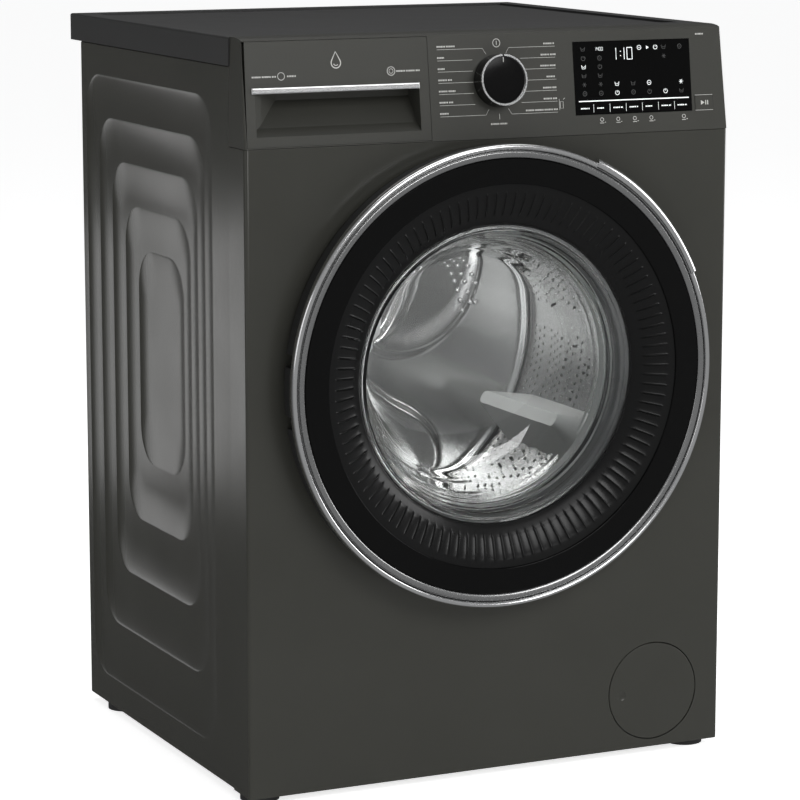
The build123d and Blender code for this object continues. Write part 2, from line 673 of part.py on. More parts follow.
def make_door_handle():
    """Curved grip set into the ring, on a lever that pivots inside the door."""
    with BuildPart() as door_handle:
        turn(
            (256.4, -31), (257.2, -34.5), (260, -36.6), (264.5, -36.8), (268, -34.6),
            (268.6, -29), (267, -22), (264.4, -22), (264.8, -27), (262, -29.5), (258, -28.5),
            (256.4, -28.5),
        )
        sector((200, 290), (HANDLE_START, HANDLE_END), (-50, -10), Mode.INTERSECT)
        sector((236, 258.5), (HANDLE_MID - 4, HANDLE_MID + 4), (-30, -27.5))
        with BuildSketch(handle_pivot_plane()):
            Circle(HANDLE_PIN_R)
        extrude(amount=23, both=True)
    return door_handle


def make_latch_hook():
    """Hook on a vertical pin in the door."""
    with BuildPart() as latch_hook:
        plan_prism(
            (456, 474),
            (HOOK_X - 3, -16), (HOOK_X + 3, -16), (HOOK_X + 2, 9), (HOOK_X + 7, 10),
            (HOOK_X + 3, 17), (HOOK_X - 2, 17),
        )
        post(HOOK_X, HOOK_DEPTH, 4.5, (451, 479))
        post(HOOK_X, HOOK_DEPTH, 2, (447, 483))
    return latch_hook


def make_door_lock():
    """Interlock box behind the front panel, open to the front for the hook."""
    with BuildPart() as door_lock:
        block((190, 234), (SHEET + 0.2, 28), (436, 494))
        block((198, 225), (-5, 24), (449, 481), Mode.SUBTRACT)
        block((206, 226), (27.5, 36), (440, 452))
    return door_lock


# ------------------------------------------------------- gasket, tub and what it holds
def make_door_gasket():
    """Bellows seal from the front panel's opening to the tub's neck."""
    with BuildPart() as door_gasket:
        turn(
            (186, -1.6), (170, -1.6), (165.4, 1.5), (163.6, 8), (160.6, 14), (163.4, 15.6),
            (167.5, 10), (168.6, 5), (171.6, 2.6), (172.2, 16), (173, 28), (188, 33),
            (190, 40), (174, 43.4), (173.8, 61), (176.8, 61), (176.8, 47.5), (192, 43.2),
            (194, 39), (191.4, 30), (178.6, 25), (178.2, 14), (175.8, 14), (175.6, -0.2),
            (186, -0.2),
        )
    return door_gasket


def make_gasket_clamps():
    """Spring wire at the front panel and clamp band round the tub's neck."""
    with BuildPart() as gasket_clamps:
        with BuildSketch(Plane.XY.offset(AXIS_Z)):
            with Locations((180.4, FRONT + 18)):
                Circle(1.6)
            with Locations((178, FRONT + 55)):
                Rectangle(1.8, 7)
        revolve(axis=DRUM_AXIS)
    return gasket_clamps


def make_tub_front():
    """Front half of the tub, with its neck and the sump outlet."""
    inner = TUB_R - TUB_WALL
    with BuildPart() as tub_front:
        turn(
            (170, 45), (173.5, 45), (173.5, TUB_FRONT), (inner, TUB_FRONT + 4),
            (TUB_R, TUB_FRONT + 9), (TUB_R, 206), (274, 206), (274, TUB_JOINT),
            (inner, TUB_JOINT), (inner, 73), (258, 70), (170, 66),
        )
        post(SUMP_X, SUMP_DEPTH, 22, (182, 206))
        bar(0, AXIS_Z, inner, (90, 200), Mode.SUBTRACT)
        post(SUMP_X, SUMP_DEPTH, 19, (175, 215), Mode.SUBTRACT)
    return tub_front


def make_tub_rear():
    """Rear half of the tub: bearing boss, ribs, spring ears, damper feet and fill spigot."""
    inner, joint = TUB_R - TUB_WALL, TUB_JOINT + 0.4
    with BuildPart() as tub_rear:
        turn(
            (inner, joint), (274, joint), (274, 222), (TUB_R, 222), (TUB_R, TUB_REAR - 5),
            (inner, TUB_REAR), (60, TUB_REAR), (44, 438), (44, 458), (26, 458), (26, 444),
            (22, 444), (22, 438), (31, 438), (31, 418), (60, 420), (inner - 4, 420), (inner, 416),
        )
        with BuildSketch(front_plane(TUB_REAR - 1)):
            with Locations((0, AXIS_Z)):
                with PolarLocations(152, 12):
                    Rectangle(212, 4)
        extrude(amount=-9)
        for side in (-1, 1):
            x = side * SPRING_X + COIL_R
            block((x - 6, x + 6), (SPRING_DEPTH - 6, SPRING_DEPTH + 6), (625, 688))
            x = side * 178
            block((x - 10, x + 10), (DAMPER_DEPTH - 10, DAMPER_DEPTH + 10), (246, 280))
        post(FILL_X, FILL_DEPTH, 19, (695, 727))
        bar(0, AXIS_Z, inner - 0.01, (joint, 416), Mode.SUBTRACT)
        post(FILL_X, FILL_DEPTH, 16, (690, 730), Mode.SUBTRACT)
        for x in (-30, 30):
            bar(x, AXIS_Z - 253, 3.7, (410, 440), Mode.SUBTRACT)
    return tub_rear


def make_front_counterweights():
    """Two cast arcs on the front of the tub, above and below the seal."""
    with BuildPart() as front_counterweights:
        for first in (28, 208):
            sector((200, 258), (first, first + 124), (24, TUB_FRONT - 0.6))
        chamfer(front_counterweights.faces().group_by(Axis.Y)[0].edges(), 4)
    return front_counterweights


def make_top_counterweight():
    with BuildPart() as top_counterweight:
        block((-70, 180), (232, 380), (690, 802))
        fillet(top_counterweight.edges().filter_by(Axis.Z), 14)
        bar(0, AXIS_Z, TUB_R + 0.5, (200, 420), Mode.SUBTRACT)
    return top_counterweight


def make_heater():
    """Heating loop that enters low at the rear of the tub."""
    z = AXIS_Z - 253
    with BuildPart() as heater:
        with BuildLine() as loop:
            FilletPolyline(
                (-30, FRONT + 440, z), (-30, FRONT + 240, z), (30, FRONT + 240, z),
                (30, FRONT + 440, z), radius=25,
            )
        with BuildSketch(Plane(origin=loop.line @ 0, z_dir=loop.line % 0)):
            Circle(3.4)
        sweep()
    return heater


def make_drum_bearings():
    """Shaft seal and two ball bearings in the tub's boss."""
    bore = SHAFT_R + RUNNING
    with BuildPart() as drum_bearings:
        for outer, depths in ((30.9, (418.4, 423.4)), (30.9, (424, 437.8)), (25.9, (444.2, 457.8))):
            bar(0, AXIS_Z, outer, depths)
        bar(0, AXIS_Z, bore, (410, 460), Mode.SUBTRACT)
    return drum_bearings


# ---------------------------------------------------------------------------- drum
HOLE_COLUMNS, HOLE_ROWS, HOLE_R = 6, 8, 2.4


def make_drum_shell():
    """Thin rolled cylinder, perforated between the lifters."""
    with BuildPart() as drum_shell:
        turn(
            (DRUM_R - 1, DRUM_FRONT), (DRUM_R, DRUM_FRONT), (DRUM_R, DRUM_BACK),
            (DRUM_R - 1, DRUM_BACK),
        )
        holes = []
        for first in LIFTER_ANGLES:
            for column in range(HOLE_COLUMNS):
                angle = math.radians(first + 22 + 15.2 * column)
                outward = Vector(math.cos(angle), 0, math.sin(angle))
                for row in range(HOLE_ROWS):
                    depth = DRUM_FRONT + 24 + 36 * row + 18 * (column % 2)
                    start = Vector(0, FRONT + depth, AXIS_Z) + outward * (DRUM_R - 10)
                    holes.append(Plane(origin=start, z_dir=outward))
        with BuildSketch(*holes):
            Circle(HOLE_R)
        extrude(amount=20, mode=Mode.SUBTRACT)
    return drum_shell


def make_drum_front():
    """Rolled front ring of the drum round its mouth."""
    with BuildPart() as drum_front:
        turn(
            (181, 74), (184, 71.6), (187, 74), (230, 77), (243.8, 80.2), (243.8, 90),
            (242.6, 90), (242.6, 81.6), (230, 78.4), (186.4, 75.4), (184.4, 73.4),
            (182.4, 75), (182.4, 80), (181, 80),
        )
    return drum_front


def make_drum_back():
    """Dished rear disc of the drum."""
    with BuildPart() as drum_back:
        turn(
            (0, 380), (60, 380), (90, 386), (236, 388), (242.4, 384), (243.8, 384),
            (243.8, 391.8), (236, 389.2), (90, 387.2), (60, 381.2), (0, 381.2),
        )
    return drum_back


def make_drum_lifters():
    """Three paddles on the drum wall."""
    crest, reach = 178.0, 66.0
    with BuildPart() as drum_lifters:
        for angle in LIFTER_ANGLES:
            turned = math.radians(angle)
            outward = Vector(math.cos(turned), 0, math.sin(turned))
            start = Vector(0, FRONT + 236, AXIS_Z) + outward * crest
            top = Plane(origin=start, x_dir=(0, 1, 0), z_dir=outward)
            with BuildSketch(top):
                SlotOverall(200, 16)
            with BuildSketch(top.offset(reach)):
                SlotOverall(262, 66)
            loft()
        turn((DRUM_R - 1.2, 60), (DRUM_R + 40, 60), (DRUM_R + 40, 420), (DRUM_R - 1.2, 420),
             mode=Mode.SUBTRACT)
    return drum_lifters


def make_drum_spider():
    """Three cast arms behind the drum, on the shaft."""
    with BuildPart() as drum_spider:
        bar(0, AXIS_Z, 38, (389.4, 414))
        bar(0, AXIS_Z, 30, (381.4, 390))
        for angle in LIFTER_ANGLES:
            turned = math.radians(angle)
            along = (math.cos(turned), 0, math.sin(turned))
            with BuildSketch(Plane(origin=(0, FRONT + 389.4, AXIS_Z), x_dir=along, z_dir=(0, 1, 0))):
                with BuildLine():
                    Polyline((20, -30), (236, -12), (236, 12), (20, 30), close=True)
                make_face()
            extrude(amount=16)
        bar(0, AXIS_Z, SHAFT_R, (375, 420), Mode.SUBTRACT)
    return drum_spider


def make_drum_shaft():
    with BuildPart() as drum_shaft:
        bar(0, AXIS_Z, SHAFT_R, (384, 486))
        bar(0, AXIS_Z, 10, (486, 491))
    return drum_shaft


def make_drum_pulley():
    """Spoked pulley with a flanged rim."""
    first, last = BELT_DEPTHS
    rim, flange = DRUM_PULLEY_R, DRUM_PULLEY_R + 2
    with BuildPart() as drum_pulley:
        turn(
            (rim - 5, first - 3), (flange, first - 3), (flange, first - 1), (rim, first - 1),
            (rim, last + 1), (flange, last + 1), (flange, last + 3), (rim - 5, last + 3),
        )
        with BuildSketch(front_plane(first + 2)):
            with Locations((0, AXIS_Z)):
                with PolarLocations((rim - 4) / 2, 6):
                    Rectangle(rim - 4, 20)
        extrude(amount=-8)
        bar(0, AXIS_Z, 26, (first, last + 4))
        bar(0, AXIS_Z, SHAFT_R, (first - 5, last + 10), Mode.SUBTRACT)
    return drum_pulley


# ------------------------------------------------------------- drive and suspension
def belt_loop(grow, mode):
    """Taut loop round both pulleys, as a solid grown outwards from them."""
    with BuildSketch(front_plane(BELT_DEPTHS[1])) as loop:
        with Locations((0, AXIS_Z)):
            Circle(DRUM_PULLEY_R + grow)
        with Locations((MOTOR_X, MOTOR_Z)):
            Circle(MOTOR_PULLEY_R + grow)
        make_hull()
    extrude(loop.sketch, amount=BELT_DEPTHS[1] - BELT_DEPTHS[0], mode=mode)


def make_drive_belt():
    running, thickness = 0.3, 4.0
    with BuildPart() as drive_belt:
        belt_loop(running + thickness, Mode.ADD)
        belt_loop(running, Mode.SUBTRACT)
    return drive_belt


def make_motor():
    """Motor casing with its two hangers under the tub."""
    with BuildPart() as motor:
        bar(MOTOR_X, MOTOR_Z, 62, (270, 440))
        fillet(motor.edges().filter_by(GeomType.CIRCLE), 6)
        for depth in (292, 400):
            block((MOTOR_X - 30, MOTOR_X + 30), (depth, depth + 20), (MOTOR_Z + 40, 215))
        bar(0, AXIS_Z, TUB_R + 0.3, (260, 450), Mode.SUBTRACT)
        bar(MOTOR_X, MOTOR_Z, MOTOR_SHAFT_R + RUNNING, (275, 450), Mode.SUBTRACT)
        for step in range(10):
            x = MOTOR_X - 45 + 10 * step
            block((x - 2, x + 2), (330, 380), (20, MOTOR_Z - 52), Mode.SUBTRACT)
    return motor


def make_motor_pulley():
    """Rotor shaft with its small flanged pulley."""
    first, last = BELT_DEPTHS
    with BuildPart() as motor_pulley:
        bar(MOTOR_X, MOTOR_Z, MOTOR_SHAFT_R, (280, 486))
        bar(MOTOR_X, MOTOR_Z, MOTOR_PULLEY_R, (first - 1, last + 1))
        for depths in ((first - 3, first - 1), (last + 1, last + 3)):
            bar(MOTOR_X, MOTOR_Z, MOTOR_PULLEY_R + 2, depths)
    return motor_pulley


def make_dampers():
    """Two friction dampers from the base to the tub's lower sides."""
    with BuildPart() as dampers:
        for side in (-1, 1):
            foot = Vector(side * 225, FRONT + DAMPER_DEPTH, 30)
            head = Vector(side * 178, FRONT + DAMPER_DEPTH, 243)
            length = (head - foot).length
            rod_between(foot, head, 14, 0.6 * length)
            rod_between(head, foot, 6, 0.5 * length)
    return dampers


def make_suspension_springs():
    """Two coil springs with straight ends, from the rear rail to the tub's ears."""
    turns = 12
    low, high = SPRING_ZS
    with BuildPart() as suspension_springs:
        for side in (-1, 1):
            centre = (side * SPRING_X, FRONT + SPRING_DEPTH, low)
            with BuildLine(Plane(origin=centre)) as coil:
                Helix((high - low) / turns, high - low, COIL_R)
            with BuildSketch(Plane(origin=coil.line @ 0, z_dir=coil.line % 0)):
                Circle(WIRE_R)
            sweep(is_frenet=True)
            for zs in ((688.3, low + 1), (high - 1, 810)):
                post(side * SPRING_X + COIL_R, SPRING_DEPTH, WIRE_R - 0.2, zs)
    return suspension_springs


# ------------------------------------------------------------------ pump and water
def make_pump_body():
    """Drain pump: filter chamber open to the front, impeller chamber and motor."""
    with BuildPart() as pump_body:
        bar(PUMP_X, PUMP_Z, PUMP_BORE + 4, (10, 118))
        bar(PUMP_X, PUMP_Z, 30, (117, 150))
        bar(PUMP_X, PUMP_Z, 22, (149, 200))
        block((PUMP_X - 34, PUMP_X + 34), (60, 110), (34.5, 60))
        with Locations(Location((PUMP_X - 46, FRONT + 95, PUMP_Z + 6), (0, 90, 0))):
            Cylinder(17, 24)
        block((PUMP_X + 10, HOSE_X), (124, 146), (HOSE_Z - 8, HOSE_Z + 8))
        bar(HOSE_X, HOSE_Z, 9, (124, 172))
        bar(HOSE_X, HOSE_Z, 7, (130, 175), Mode.SUBTRACT)
        with Locations(Location((PUMP_X - 46, FRONT + 95, PUMP_Z + 6), (0, 90, 0))):
            Cylinder(14.5, 44, mode=Mode.SUBTRACT)
        bar(PUMP_X, PUMP_Z, PUMP_BORE, (0, 114), Mode.SUBTRACT)
        bar(PUMP_X, PUMP_Z, 25, (110, 146), Mode.SUBTRACT)
        bar(PUMP_X, PUMP_Z, 3 + RUNNING, (140, 180), Mode.SUBTRACT)
    return pump_body


def make_pump_filter():
    """Lint filter: round cap with a grip bar, and a cage of six rods."""
    with BuildPart() as pump_filter:
        bar(PUMP_X, PUMP_Z, PUMP_BORE - 0.08, (12, 22))
        block((PUMP_X - 25, PUMP_X + 25), (6, 12.5), (PUMP_Z - 4, PUMP_Z + 4))
        with BuildSketch(front_plane(21)):
            with Locations((PUMP_X, PUMP_Z)):
                with PolarLocations(24, 6):
                    Circle(3)
        extrude(amount=-70)
        bar(PUMP_X, PUMP_Z, 28, (88, 92))
    return pump_filter


def make_pump_impeller():
    with BuildPart() as pump_impeller:
        bar(PUMP_X, PUMP_Z, 7, (120, 142))
        bar(PUMP_X, PUMP_Z, 3, (141, 178))
        with BuildSketch(front_plane(124)):
            with Locations((PUMP_X, PUMP_Z)):
                with PolarLocations(12, 6):
                    Rectangle(20, 2.4)
        extrude(amount=-14)
    return pump_impeller


def make_filter_cover():
    """Round flap over the pump filter; it turns on a tongue behind the edge of its hole."""
    with BuildPart() as filter_cover:
        bar(FLAP_X, FLAP_Z, FLAP_R, (0, 2.4))
        fillet(filter_cover.edges().group_by(Axis.Y)[0], 0.8)
        with Locations((FLAP_X - 41, FRONT - 10.6, FLAP_Z - 2)):
            Sphere(12.2, mode=Mode.SUBTRACT)
        block((FLAP_X + FLAP_R - 12, FLAP_X + FLAP_R + 8), (1.3, 2.6), (FLAP_Z - 6, FLAP_Z + 6))
    return filter_cover


def make_inlet_valve():
    """Twin solenoid valve with the threaded water inlet at the rear."""
    with BuildPart() as inlet_valve:
        bar(VALVE_X, VALVE_Z, 16, (460, 512))
        bar(VALVE_X, VALVE_Z, 13.2, (511, 526))
        block((VALVE_X - 20, VALVE_X + 20), (446, 470), (VALVE_Z - 16, VALVE_Z + 12))
        for x in (VALVE_X - 14, VALVE_X + 14):
            post(x, 456, 10, (725, VALVE_Z - 10))
            bar(x, VALVE_Z, 5.5, (430, 450))
            bar(x, VALVE_Z, 3.8, (420, 462), Mode.SUBTRACT)
        bar(VALVE_X, VALVE_Z, 9.5, (490, 530), Mode.SUBTRACT)
    return inlet_valve


def make_water_hoses():
    """Valve to dispenser, dispenser to tub, and tub to pump."""
    with BuildPart() as water_hoses:
        for x in (VALVE_X - 14, VALVE_X + 14):
            bar(x, VALVE_Z, 8, (352.4, 445.6))
            bar(x, VALVE_Z, 5.6, (350, 450), Mode.SUBTRACT)
        post(FILL_X, FILL_DEPTH, 22, (716, 730.6))
        post(FILL_X, FILL_DEPTH, 19.2, (710, 735), Mode.SUBTRACT)
        tube_along(
            (
                (SUMP_X, SUMP_DEPTH, 181.6), (SUMP_X, SUMP_DEPTH, 146), (40, 136, 112),
                (78, 108, 88), (114, 95, PUMP_Z + 6), (PUMP_X - 58.4, 95, PUMP_Z + 6),
            ),
            17, 14.5,
        )
    return water_hoses


def make_drain_hose():
    """Hose from the pump to the spigot at the rear."""
    with BuildPart() as drain_hose:
        tube_along(
            (
                (HOSE_X, 151, HOSE_Z), (HOSE_X, 200, HOSE_Z), (258, 262, 100),
                (262, 330, 124), (256, 395, 144), (241, 452, DRAIN_Z), (DRAIN_X, 497, DRAIN_Z),
            ),
            11, 9.1,
        )
        bar(DRAIN_X, DRAIN_Z, 14.5, (496, 506))
        bar(DRAIN_X, DRAIN_Z, 11, (505, 530))
        bar(DRAIN_X, DRAIN_Z, 8.5, (485, 540), Mode.SUBTRACT)
    return drain_hose


def make_mains_gland():
    """Cable gland in the rear panel, with the mains filter behind it."""
    with BuildPart() as mains_gland:
        bar(GLAND_X, GLAND_Z, 9, (497, 506))
        bar(GLAND_X, GLAND_Z, 12, (501.2, 503.2))
        bar(GLAND_X, GLAND_Z, 7, (505, 514))
        block((GLAND_X - 18, GLAND_X + 18), (452, 498), (GLAND_Z - 20, GLAND_Z + 20))
        bar(GLAND_X, GLAND_Z, 4.2, (490, 520), Mode.SUBTRACT)
    return mains_gland


def make_transit_caps():
    """Plugs over the four transit bolt holes."""
    with BuildPart() as transit_caps:
        for x, z in TRANSIT_PLACES:
            bar(x, z, 13, (501.2, 504.2))
            bar(x, z, 8.8, (494, 501.4))
    return transit_caps


# -------------------------------------------------------------------------- export
MAKERS = {
    "side_panel_left": make_side_panel_left,
    "side_panel_right": make_side_panel_right,
    "front_panel": make_front_panel,
    "rear_panel": make_rear_panel,
    "service_cover": make_service_cover,
    "base_pan": make_base_pan,
    "worktop_frame": make_worktop_frame,
    "worktop_board": make_worktop_board,
    "cross_braces": make_cross_braces,
    "levelling_feet": make_levelling_feet,
    "foot_lock_nuts": make_foot_lock_nuts,
    "control_fascia": make_control_fascia,
    "display_glass": make_display_glass,
    "control_board": make_control_board,
    "program_knob": make_program_knob,
    "knob_ring": make_knob_ring,
    "start_key": make_start_key,
    "drawer_front": make_drawer_front,
    "drawer_trim": make_drawer_trim,
    "drawer_tray": make_drawer_tray,
    "softener_cap": make_softener_cap,
    "dispenser_housing": make_dispenser_housing,
    "door_ring": make_door_ring,
    "door_cover": make_door_cover,
    "door_rear_frame": make_door_rear_frame,
    "door_glass": make_door_glass,
    "door_hinge_arm": make_door_hinge_arm,
    "hinge_bracket": make_hinge_bracket,
    "door_handle": make_door_handle,
    "latch_hook": make_latch_hook,
    "door_lock": make_door_lock,
    "door_gasket": make_door_gasket,
    "gasket_clamps": make_gasket_clamps,
    "tub_front": make_tub_front,
    "tub_rear": make_tub_rear,
    "front_counterweights": make_front_counterweights,
    "top_counterweight": make_top_counterweight,
    "heater": make_heater,
    "drum_bearings": make_drum_bearings,
    "drum_shell": make_drum_shell,
    "drum_front": make_drum_front,
    "drum_back": make_drum_back,
    "drum_lifters": make_drum_lifters,
    "drum_spider": make_drum_spider,
    "drum_shaft": make_drum_shaft,
    "drum_pulley": make_drum_pulley,
    "drive_belt": make_drive_belt,
    "motor": make_motor,
    "motor_pulley": make_motor_pulley,
    "dampers": make_dampers,
    "suspension_springs": make_suspension_springs,
    "pump_body": make_pump_body,
    "pump_filter": make_pump_filter,
    "pump_impeller": make_pump_impeller,
    "filter_cover": make_filter_cover,
    "inlet_valve": make_inlet_valve,
    "water_hoses": make_water_hoses,
    "drain_hose": make_drain_hose,
    "mains_gland": make_mains_gland,
    "transit_caps": make_transit_caps,
}

os.makedirs("parts", exist_ok=True)
for name, make in MAKERS.items():
    piece = make()
    piece.part.label = name
    export_step(piece.part, f"parts/{name}.step")
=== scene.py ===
"""Looks for the front-loading washing machine: materials, fine pieces, light and camera.

The frame's axes: +X right seen from the front, +Y to the rear, +Z up. Shapes are given in
millimetres. A "depth" is a distance behind the front panel's outer face, negative before it.
"""

import json
import math

import bmesh
import bpy
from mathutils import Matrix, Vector


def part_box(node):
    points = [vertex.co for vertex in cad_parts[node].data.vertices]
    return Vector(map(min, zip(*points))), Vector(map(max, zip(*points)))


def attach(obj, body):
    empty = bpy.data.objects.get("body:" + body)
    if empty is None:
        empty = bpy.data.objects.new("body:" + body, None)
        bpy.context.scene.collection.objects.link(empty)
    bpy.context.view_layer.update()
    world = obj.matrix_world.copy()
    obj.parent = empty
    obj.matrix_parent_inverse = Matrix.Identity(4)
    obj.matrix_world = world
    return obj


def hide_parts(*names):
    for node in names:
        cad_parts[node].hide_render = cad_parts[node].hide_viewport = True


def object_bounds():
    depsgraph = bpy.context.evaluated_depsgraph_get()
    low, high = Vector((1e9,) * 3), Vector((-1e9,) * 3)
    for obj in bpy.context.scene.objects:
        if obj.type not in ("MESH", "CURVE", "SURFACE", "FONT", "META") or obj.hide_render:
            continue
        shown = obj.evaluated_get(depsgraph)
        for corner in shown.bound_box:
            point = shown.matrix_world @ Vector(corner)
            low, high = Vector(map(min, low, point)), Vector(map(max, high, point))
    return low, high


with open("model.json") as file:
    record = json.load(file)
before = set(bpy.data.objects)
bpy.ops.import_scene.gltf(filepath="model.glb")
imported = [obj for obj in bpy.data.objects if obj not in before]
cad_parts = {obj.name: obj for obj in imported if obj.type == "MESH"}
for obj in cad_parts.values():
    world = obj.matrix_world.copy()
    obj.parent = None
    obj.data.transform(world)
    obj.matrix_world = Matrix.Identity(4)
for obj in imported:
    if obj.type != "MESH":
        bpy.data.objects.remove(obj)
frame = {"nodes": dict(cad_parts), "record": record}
CAD_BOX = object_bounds()
MM = 0.001

# ------------------------------------------------------------- places from the frame
PANEL_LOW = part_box("front_panel")[0]
RING_LOW, RING_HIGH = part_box("door_ring")
FASCIA_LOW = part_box("control_fascia")[0]
FRONT = PANEL_LOW.y
AXIS_X = (RING_LOW.x + RING_HIGH.x) / 2
AXIS_Z = (RING_LOW.z + RING_HIGH.z) / 2
SEAM = FASCIA_LOW.z
LEAN_RUN, LEAN_RISE = 15.0, 114.5  # how far the fascia leans back over its height
LEAN = math.atan2(LEAN_RUN, LEAN_RISE)
KNOB_AT = (7.5, 790.5)  # x and z of the knob's middle


# -------------------------------------------------------------------- mesh helpers
def add_piece(name, points, faces, body, material, slot, smooth=30, stand_in=()):
    """Mesh piece that rides on a body; edges sharper than smooth degrees stay sharp."""
    mesh = bpy.data.meshes.new(name)
    mesh.from_pydata([tuple(p) for p in points], [], faces)
    work = bmesh.new()
    work.from_mesh(mesh)
    bmesh.ops.remove_doubles(work, verts=work.verts, dist=1e-6)
    bmesh.ops.recalc_face_normals(work, faces=work.faces)
    work.to_mesh(mesh)
    work.free()
    mesh.shade_smooth()
    mesh.set_sharp_from_angle(angle=math.radians(smooth))
    mesh.materials.append(material)
    piece = bpy.data.objects.new(name, mesh)
    bpy.context.scene.collection.objects.link(piece)
    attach(piece, body)
    if stand_in:
        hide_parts(*stand_in)
    return piece


def even_angles(count, start=0.0, end=360.0):
    return [math.radians(start + (end - start) * k / count) for k in range(count + 1)]


def turned(profile, angles, lift=None):
    """Points and faces of a closed profile of (radius, depth) turned about the drum's axis.

    A turn of less than a full circle gets flat end caps. lift gives a change of depth.
    """
    full = angles[-1] - angles[0] > 2 * math.pi - 1e-6
    stations = angles[:-1] if full else angles
    points, faces = [], []
    for angle in stations:
        for radius, depth in profile:
            change = lift(radius, angle) if lift else 0.0
            points.append((
                AXIS_X + radius * MM * math.cos(angle),
                FRONT + (depth + change) * MM,
                AXIS_Z + radius * MM * math.sin(angle),
            ))
    count = len(profile)
    for step in range(len(angles) - 1):
        here, there = step * count, (step + 1) % len(stations) * count
        for k in range(count):
            after = (k + 1) % count
            faces.append((here + k, there + k, there + after, here + after))
    if not full:
        last = (len(stations) - 1) * count
        faces.append(tuple(range(count)))
        faces.append(tuple(last + k for k in range(count)))
    return points, faces


def smooth_line(points, steps=5):
    """Open line through the points, rounded as a uniform Catmull-Rom spline."""
    line = []
    ends = [points[0], *points, points[-1]]
    for k in range(len(points) - 1):
        a, b, c, d = ends[k:k + 4]
        for step in range(steps):
            t = step / steps
            line.append(tuple(
                0.5 * (2 * q + (r - p) * t + (2 * p - 5 * q + 4 * r - s) * t * t
                       + (3 * q - p - 3 * r + s) * t ** 3)
                for p, q, r, s in zip(a, b, c, d)
            ))
    line.append(points[-1])
    return line


def oval(middle, radii, start, end, count=10):
    """Arc of an ellipse from start to end degrees."""
    return [
        (middle[0] + radii[0] * math.cos(a), middle[1] + radii[1] * math.sin(a))
        for a in even_angles(count, start, end)
    ]


def ease(value, low, high):
    """Smooth step from 0 at low to 1 at high."""
    t = min(1.0, max(0.0, (value - low) / (high - low)))
    return t * t * (3 - 2 * t)


def on_fascia(x, z, off=0.0):
    """Point on the leaning fascia in metres, off its surface by off millimetres."""
    rise = z * MM - SEAM
    return Vector((
        x * MM,
        FRONT + rise * math.tan(LEAN) - off * MM * math.cos(LEAN),
        z * MM + off * MM * math.sin(LEAN),
    ))


class Marks:
    """Thin raised printing on the fascia, gathered into one mesh."""

    def __init__(self, low, high):
        self.heights = (low, high)
        self.points = []
        self.faces = []

    def add_strip(self, left, right, closed):
        """Strip between two lines of (x, z), as a thin solid."""
        start, count = len(self.points), len(left)
        for off in self.heights:
            for line in (left, right):
                self.points += [on_fascia(x, z, off) for x, z in line]
        low_left, low_right = start, start + count
        top_left, top_right = start + 2 * count, start + 3 * count
        for k in range(count if closed else count - 1):
            n = (k + 1) % count
            self.faces += [
                (top_left + k, top_left + n, top_right + n, top_right + k),
                (low_left + k, low_right + k, low_right + n, low_left + n),
                (low_left + k, low_left + n, top_left + n, top_left + k),
                (low_right + k, top_right + k, top_right + n, low_right + n),
            ]
        if not closed:
            for k in (0, count - 1):
                self.faces.append((low_left + k, top_left + k, top_right + k, low_right + k))

    def stroke(self, line, width, closed=False):
        """Line of even width through the points."""
        left, right = [], []
        count = len(line)
        for k in range(count):
            back = line[(k - 1) % count] if closed or k else line[k]
            ahead = line[(k + 1) % count] if closed or k < count - 1 else line[k]
            dx, dz = ahead[0] - back[0], ahead[1] - back[1]
            size = math.hypot(dx, dz)
            nx, nz = -dz / size * width / 2, dx / size * width / 2
            left.append((line[k][0] + nx, line[k][1] + nz))
            right.append((line[k][0] - nx, line[k][1] - nz))
        self.add_strip(left, right, closed)

    def circle(self, middle, radius, width):
        self.stroke(oval(middle, (radius, radius), 0, 360, 28)[:-1], width, True)

    def arc(self, middle, radius, start, end, width):
        self.stroke(oval(middle, (radius, radius), start, end, 14), width)

    def bar(self, left, right, z, width):
        self.stroke([(left, z), (right, z)], width)

    def triangle(self, tip, half):
        """Filled triangle that points right."""
        x, z = tip
        self.add_strip([(x - 1.7 * half, z + half), (x, z + 0.02)],
                       [(x - 1.7 * half, z - half), (x, z - 0.02)], False)

    def digits(self, text, left, foot, height, width):
        """Numbers in plain seven-stroke figures."""
        wide, pitch = 0.5 * height, 0.78 * height
        mid, top = foot + height / 2, foot + height
        for sign in text:
            right = left + wide
            strokes = {
                "a": ((left, top), (right, top)), "b": ((right, top), (right, mid)),
                "c": ((right, mid), (right, foot)), "d": ((left, foot), (right, foot)),
                "e": ((left, mid), (left, foot)), "f": ((left, top), (left, mid)),
                "g": ((left, mid), (right, mid)),
            }
            for stroke in FIGURES[sign]:
                self.stroke(list(strokes[stroke]), width)
            left += pitch


FIGURES = {
    "0": "abcdef", "1": "bc", "2": "abged", "3": "abgcd", "4": "fgbc",
    "5": "afgcd", "6": "afgedc", "7": "abc", "8": "abcdefg", "9": "abcfgd",
}


# ------------------------------------------------------------------------ materials
def new_material(name, colour, roughness, metallic=0.0, **sockets):
    """Principled material; returns it with its node tree and shader."""
    material = bpy.data.materials.new(name)
    material.use_nodes = True
    tree = material.node_tree
    shader = tree.nodes["Principled BSDF"]
    shader.inputs["Base Color"].default_value = (*colour, 1.0)
    shader.inputs["Roughness"].default_value = roughness
    shader.inputs["Metallic"].default_value = metallic
    for socket, value in sockets.items():
        shader.inputs[socket.replace("_", " ")].default_value = value
    return material, tree, shader


def add_noise(tree, scale, detail=2.0):
    """Noise in object coordinates."""
    place = tree.nodes.new("ShaderNodeTexCoord")
    noise = tree.nodes.new("ShaderNodeTexNoise")
    noise.inputs["Scale"].default_value = scale
    noise.inputs["Detail"].default_value = detail
    tree.links.new(place.outputs["Object"], noise.inputs["Vector"])
    return noise


